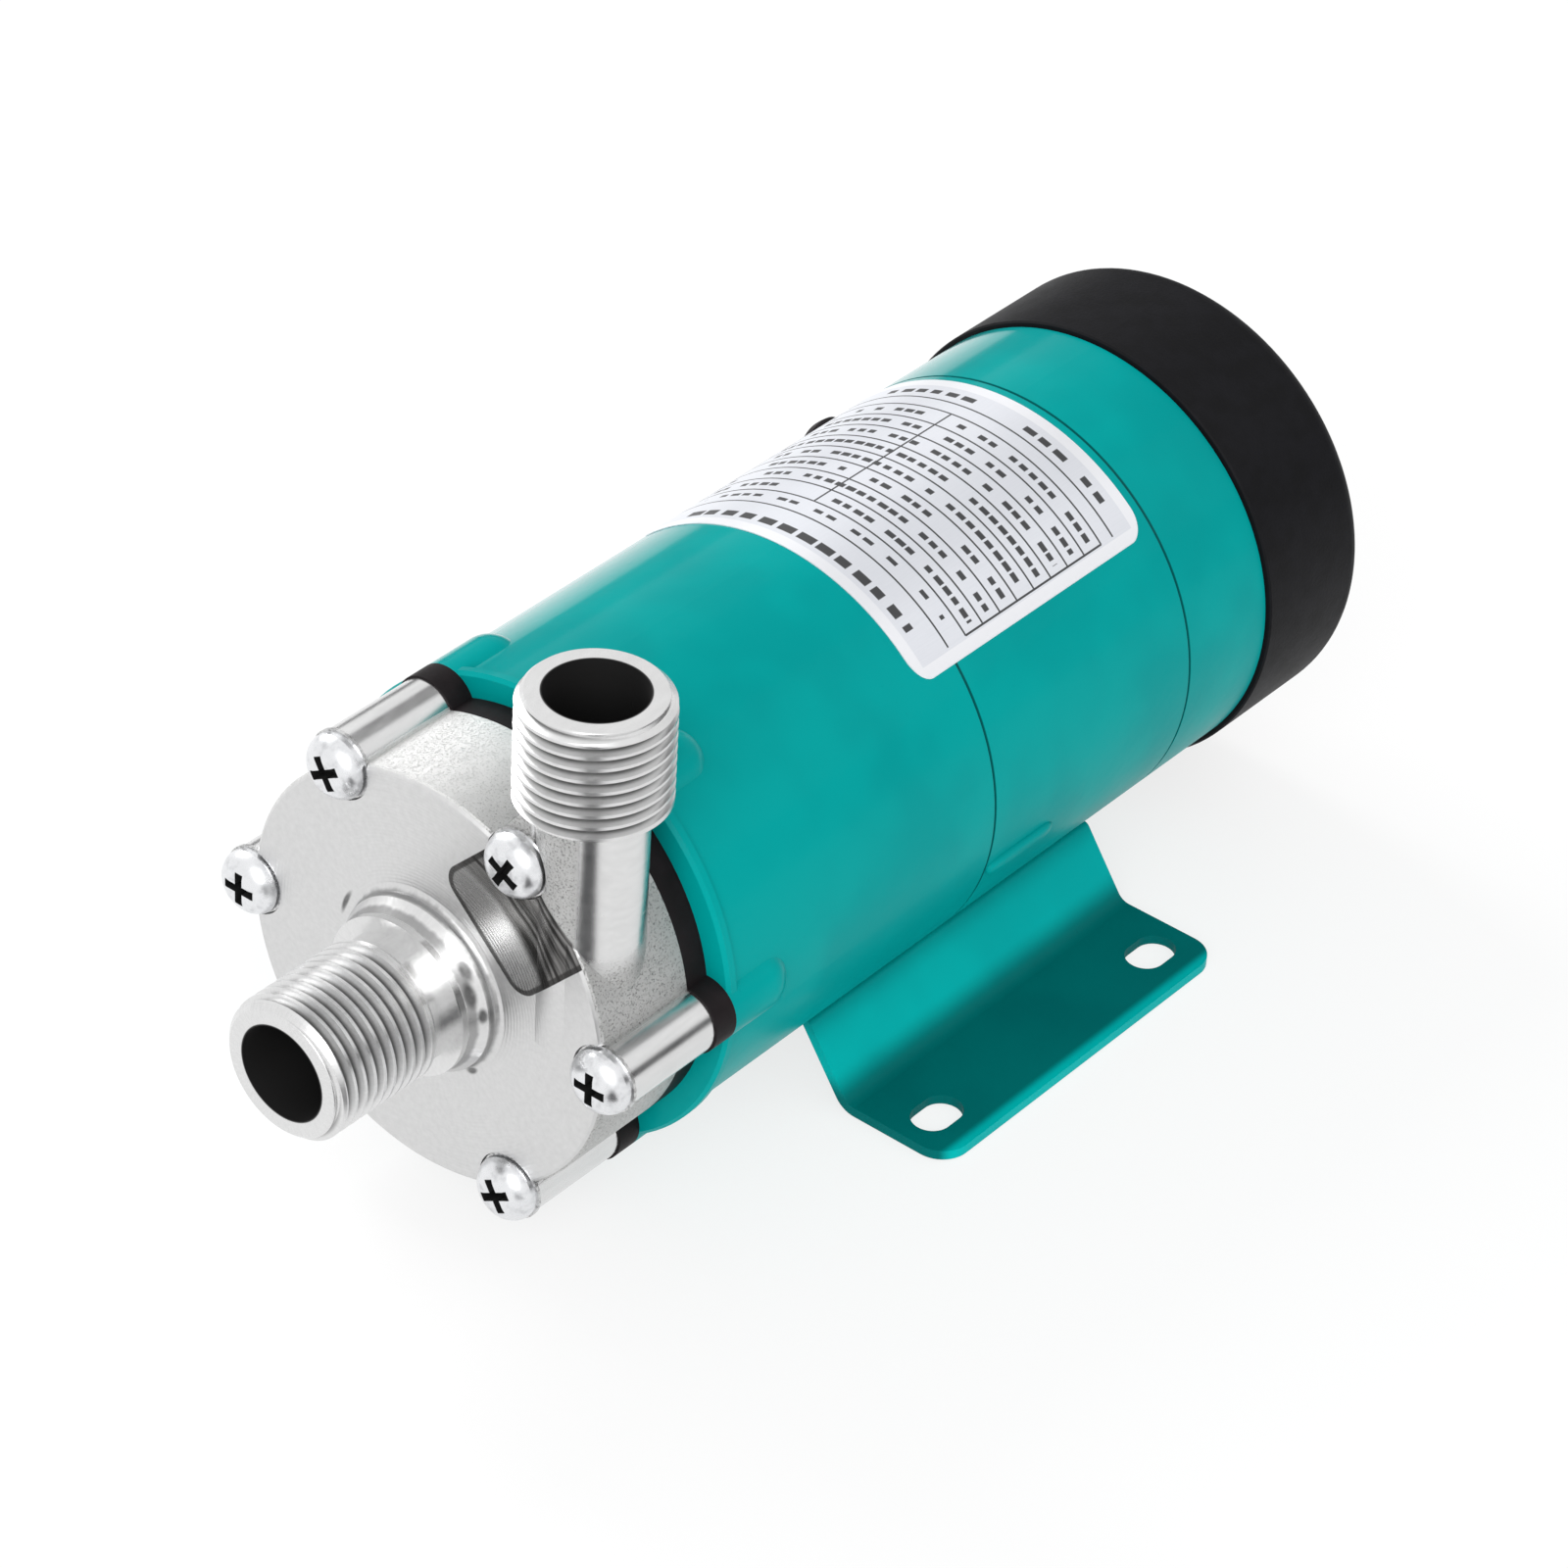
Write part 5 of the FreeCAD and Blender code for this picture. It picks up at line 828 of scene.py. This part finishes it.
def dashes(start, pitch, rows, height, dash_pitch, share, half_turn):
    """Rows of short dashes, one above another along X."""
    row_place = (x - start) / pitch
    row = label.math("FLOOR", row_place)
    off_row = label.math("ABSOLUTE", label.math("FRACT", row_place) - 0.5)
    edge = height / pitch / 2
    dash_place = arc / dash_pitch + row * ROW_SHIFT
    cell = label.join(label.math("FLOOR", dash_place), row, start)
    chance = label.node("ShaderNodeTexWhiteNoise", {"noise_dimensions": "3D"}, {"Vector": cell})
    along_dash = label.math("FRACT", dash_place)
    dash_end = DASH_LEAST + DASH_SPREAD * chance
    reach = math.radians(half_turn)
    return (label.fall(off_row, edge - 0.02, edge + 0.02)
            * label.rise(chance, 1 - share, 1 - share + 0.01)
            * label.rise(along_dash, *DASH_START)
            * label.fall(along_dash, dash_end, dash_end + 0.05)
            * label.band(x, start, start + rows * pitch, 0.01)
            * label.band(turned, -reach, reach, TURN_SOFT))


ink = label.most(rules, *[dashes(*row) for row in DASH_ROWS])
label_reach = LABEL_HALF_TURN * LABEL_RADIUS - BORDER
inner = (label.band(x, LABEL_LOW + BORDER, LABEL_HIGH - BORDER, BORDER_SOFT)
         * label.band(arc, -label_reach, label_reach, BORDER_SOFT))
brushed = label.grain(label.join(x * 0.15, arc * 4.0, away), scale=1.5, detail=2.0)
tone = label.blend(inner, FOIL_BORDER, label.blend(brushed * 0.5, FOIL, FOIL_SHADE))
tone = label.blend(ink * INK_COVER, tone, FOIL_INK)
FINISHES["label_silver"] = label.surface(
    Base_Color=tone, Roughness=0.34 + 0.16 * brushed + 0.1 * ink,
    Metallic=0.35 - 0.35 * ink, Normal=label.bump(brushed, 0.004))
print("groups of dashes:", len(DASH_ROWS))

# %% [markdown]
# The fan cover and the flange of the rear casing are glass filled plastic: nearly black, a satin
# surface with a fine grain from the mould. The two differ a little, the flange being browner. The
# rubber ring, the ceramic spindle and the parts inside get the finish that such parts have, from
# one helper, because they differ only in a few numbers.

# %% Plastic, rubber, ceramic and the parts inside
# Light and dark colour, roughness, grains in a millimetre, relief, metal and specular level
PLAIN = {
    "black_cover": ((25, 25, 28), (22, 22, 24), 0.4, 2.2, 0.03, 0.0, 0.06),
    "black_flange": ((34, 29, 31), (27, 24, 25), 0.4, 1.8, 0.03, 0.0, 0.08),
    "seal_rubber": ((24, 24, 24), (18, 18, 18), 0.65, 3.0, 0.02, 0.0, 0.5),
    "ceramic": ((238, 233, 220), (228, 222, 207), 0.15, 1.5, 0.004, 0.0, 0.5),
    "impeller_plastic": ((52, 50, 47), (40, 39, 37), 0.4, 2.0, 0.02, 0.0, 0.5),
    "magnet": ((92, 93, 96), (76, 77, 80), 0.28, 1.0, 0.01, 0.8, 0.5),
    "bush_plastic": ((58, 56, 54), (46, 45, 43), 0.35, 2.0, 0.01, 0.0, 0.5),
    "dark_steel": ((120, 120, 123), (92, 92, 95), 0.32, 1.6, 0.015, 0.9, 0.5),
    "bearing_steel": ((216, 217, 219), (190, 191, 194), 0.12, 1.2, 0.004, 1.0, 0.5),
    "cage_aluminium": ((205, 206, 208), (180, 181, 184), 0.34, 1.4, 0.02, 1.0, 0.5),
}
COARSE_SHARE = 0.12


def plain_finish(name, light, dark, roughness, scale, depth, metal, specular):
    """Two close colours that drift into each other under a fine grain."""
    finish = Finish(name, Metallic=metal, Specular_IOR_Level=specular)
    place = finish.place()
    coarse = finish.grain(place, scale * COARSE_SHARE, detail=2.0)
    fine = finish.grain(place, scale, detail=2.0)
    tone = finish.blend(finish.rise(coarse, 0.3, 0.7), paint(*light), paint(*dark))
    tone = finish.shade(tone, 0.94 + 0.12 * fine)
    return finish.surface(Base_Color=tone, Roughness=roughness + 0.12 * fine + 0.08 * coarse,
                          Normal=finish.bump(fine, depth))


for name, facts in PLAIN.items():
    FINISHES[name] = plain_finish(name, *facts)
print("plain finishes:", len(PLAIN))

# %% [markdown]
# Two finishes inside the motor have a direction. The iron cores are stacks of thin sheets, so they
# show fine lines across X, one for each sheet. The windings are enamelled copper wire, which shows
# as round ridges, and a sine of the distance from the axis and of the place along X makes those.

# %% Iron sheets and copper wire
SHEET_PITCH = 0.5
WIRE_PITCH = 0.8
IRON_EDGE = paint(86, 88, 92)
IRON = paint(132, 134, 138)
RUST = paint(120, 82, 60)
COPPER_DEEP = paint(110, 54, 26)
COPPER = paint(186, 98, 48)

sheets = Finish("lamination", Metallic=0.9)
place, x, _, _, _ = pump_place(sheets)
edge = sheets.rise(sheets.math("SINE", x * (2 * math.pi / SHEET_PITCH)), -0.2, 0.7)
rusty = sheets.rise(sheets.grain(place, scale=0.4), 0.55, 0.75)
tone = sheets.blend(rusty * 0.35, sheets.blend(edge, IRON_EDGE, IRON), RUST)
FINISHES["lamination"] = sheets.surface(Base_Color=tone, Roughness=0.38 + 0.2 * rusty,
                                        Normal=sheets.bump(edge, 0.03))

wire = Finish("winding_copper", Metallic=0.7, Coat_Weight=0.4, Coat_Roughness=0.15)
place, x, _, _, away = pump_place(wire)
ridge = 0.5 * (wire.math("SINE", x * (2 * math.pi / WIRE_PITCH))
               + wire.math("SINE", away * (2 * math.pi / WIRE_PITCH)))
FINISHES["winding_copper"] = wire.surface(
    Base_Color=wire.blend(wire.rise(ridge, -0.4, 0.6), COPPER_DEEP, COPPER),
    Roughness=0.3 + 0.1 * wire.grain(place, scale=2.0), Normal=wire.bump(ridge, 0.12))
print("sheets every", SHEET_PITCH, "mm, wires every", WIRE_PITCH, "mm")

# %% [markdown]
# The record of the part says which material slot each node takes, so the finishes are laid on by
# that list. A node's old material goes, and its faces keep the smooth or sharp edges that they
# came with.

# %% Lay the finishes on the nodes
for subpart in frame["record"]["subparts"]:
    mesh = frame["nodes"][subpart["node"]].data
    mesh.materials.clear()
    mesh.materials.append(FINISHES[subpart["material_slot"]])

# %% [markdown]
# On the motor shell, below the outlet's side and close to the front seam, the casting has a short
# raised rib. It is thin trim that carries nothing, so it is a piece of its own: rings of points,
# each a flattened oval set on the curve of the shell, joined one to the next and closed at both
# ends. The powers square the oval a little and keep the rib full until close to its ends.

# %% Rib on the motor shell
RIB_FRONT = FRONT_SEAM_X + 0.3
RIB_LENGTH = 15.0
RIB_TURN = math.radians(105.0)
RIB_HALF_WIDTH = 1.3
RIB_HEIGHT = 0.9
RIB_STATIONS = 24
RIB_POINTS = 20
RIB_SQUARE = 0.7
RIB_FULL = 6
END_GAP = 0.01


def squared(value):
    """A sine or cosine pushed outwards, so that the oval gets fuller corners."""
    return math.copysign(abs(value) ** RIB_SQUARE, value)


def rib_ring(mesh, share):
    """One oval across the rib, smaller towards its ends."""
    fullness = (1 - abs(2 * share - 1) ** RIB_FULL) ** 0.5
    ring = []
    for number in range(RIB_POINTS):
        turn = 2 * math.pi * number / RIB_POINTS
        angle = RIB_TURN + squared(math.cos(turn)) * RIB_HALF_WIDTH * fullness / BODY_RADIUS
        radius = BODY_RADIUS + squared(math.sin(turn)) * RIB_HEIGHT * fullness
        point = Vector((RIB_FRONT + RIB_LENGTH * share, -radius * math.sin(angle),
                        AXIS_HEIGHT + radius * math.cos(angle)))
        ring.append(mesh.verts.new(point * MM))
    return ring


rib_mesh = bmesh.new()
rings = [rib_ring(rib_mesh, END_GAP + (1 - 2 * END_GAP) * number / (RIB_STATIONS - 1))
         for number in range(RIB_STATIONS)]
for first, second in zip(rings, rings[1:]):
    for number in range(RIB_POINTS):
        following = (number + 1) % RIB_POINTS
        rib_mesh.faces.new((first[number], first[following], second[following], second[number]))
rib_mesh.faces.new(rings[0])
rib_mesh.faces.new(tuple(reversed(rings[-1])))
bmesh.ops.recalc_face_normals(rib_mesh, faces=rib_mesh.faces)
for side in rib_mesh.faces:
    side.smooth = True
rib_data = bpy.data.meshes.new("shell_rib")
rib_mesh.to_mesh(rib_data)
rib_mesh.free()
rib_data.materials.append(FINISHES["teal_enamel"])
shell_rib = bpy.data.objects.new("shell_rib", rib_data)
bpy.context.scene.collection.objects.link(shell_rib)
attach(shell_rib, "pump_body")
print("rib faces:", len(rib_data.polygons))
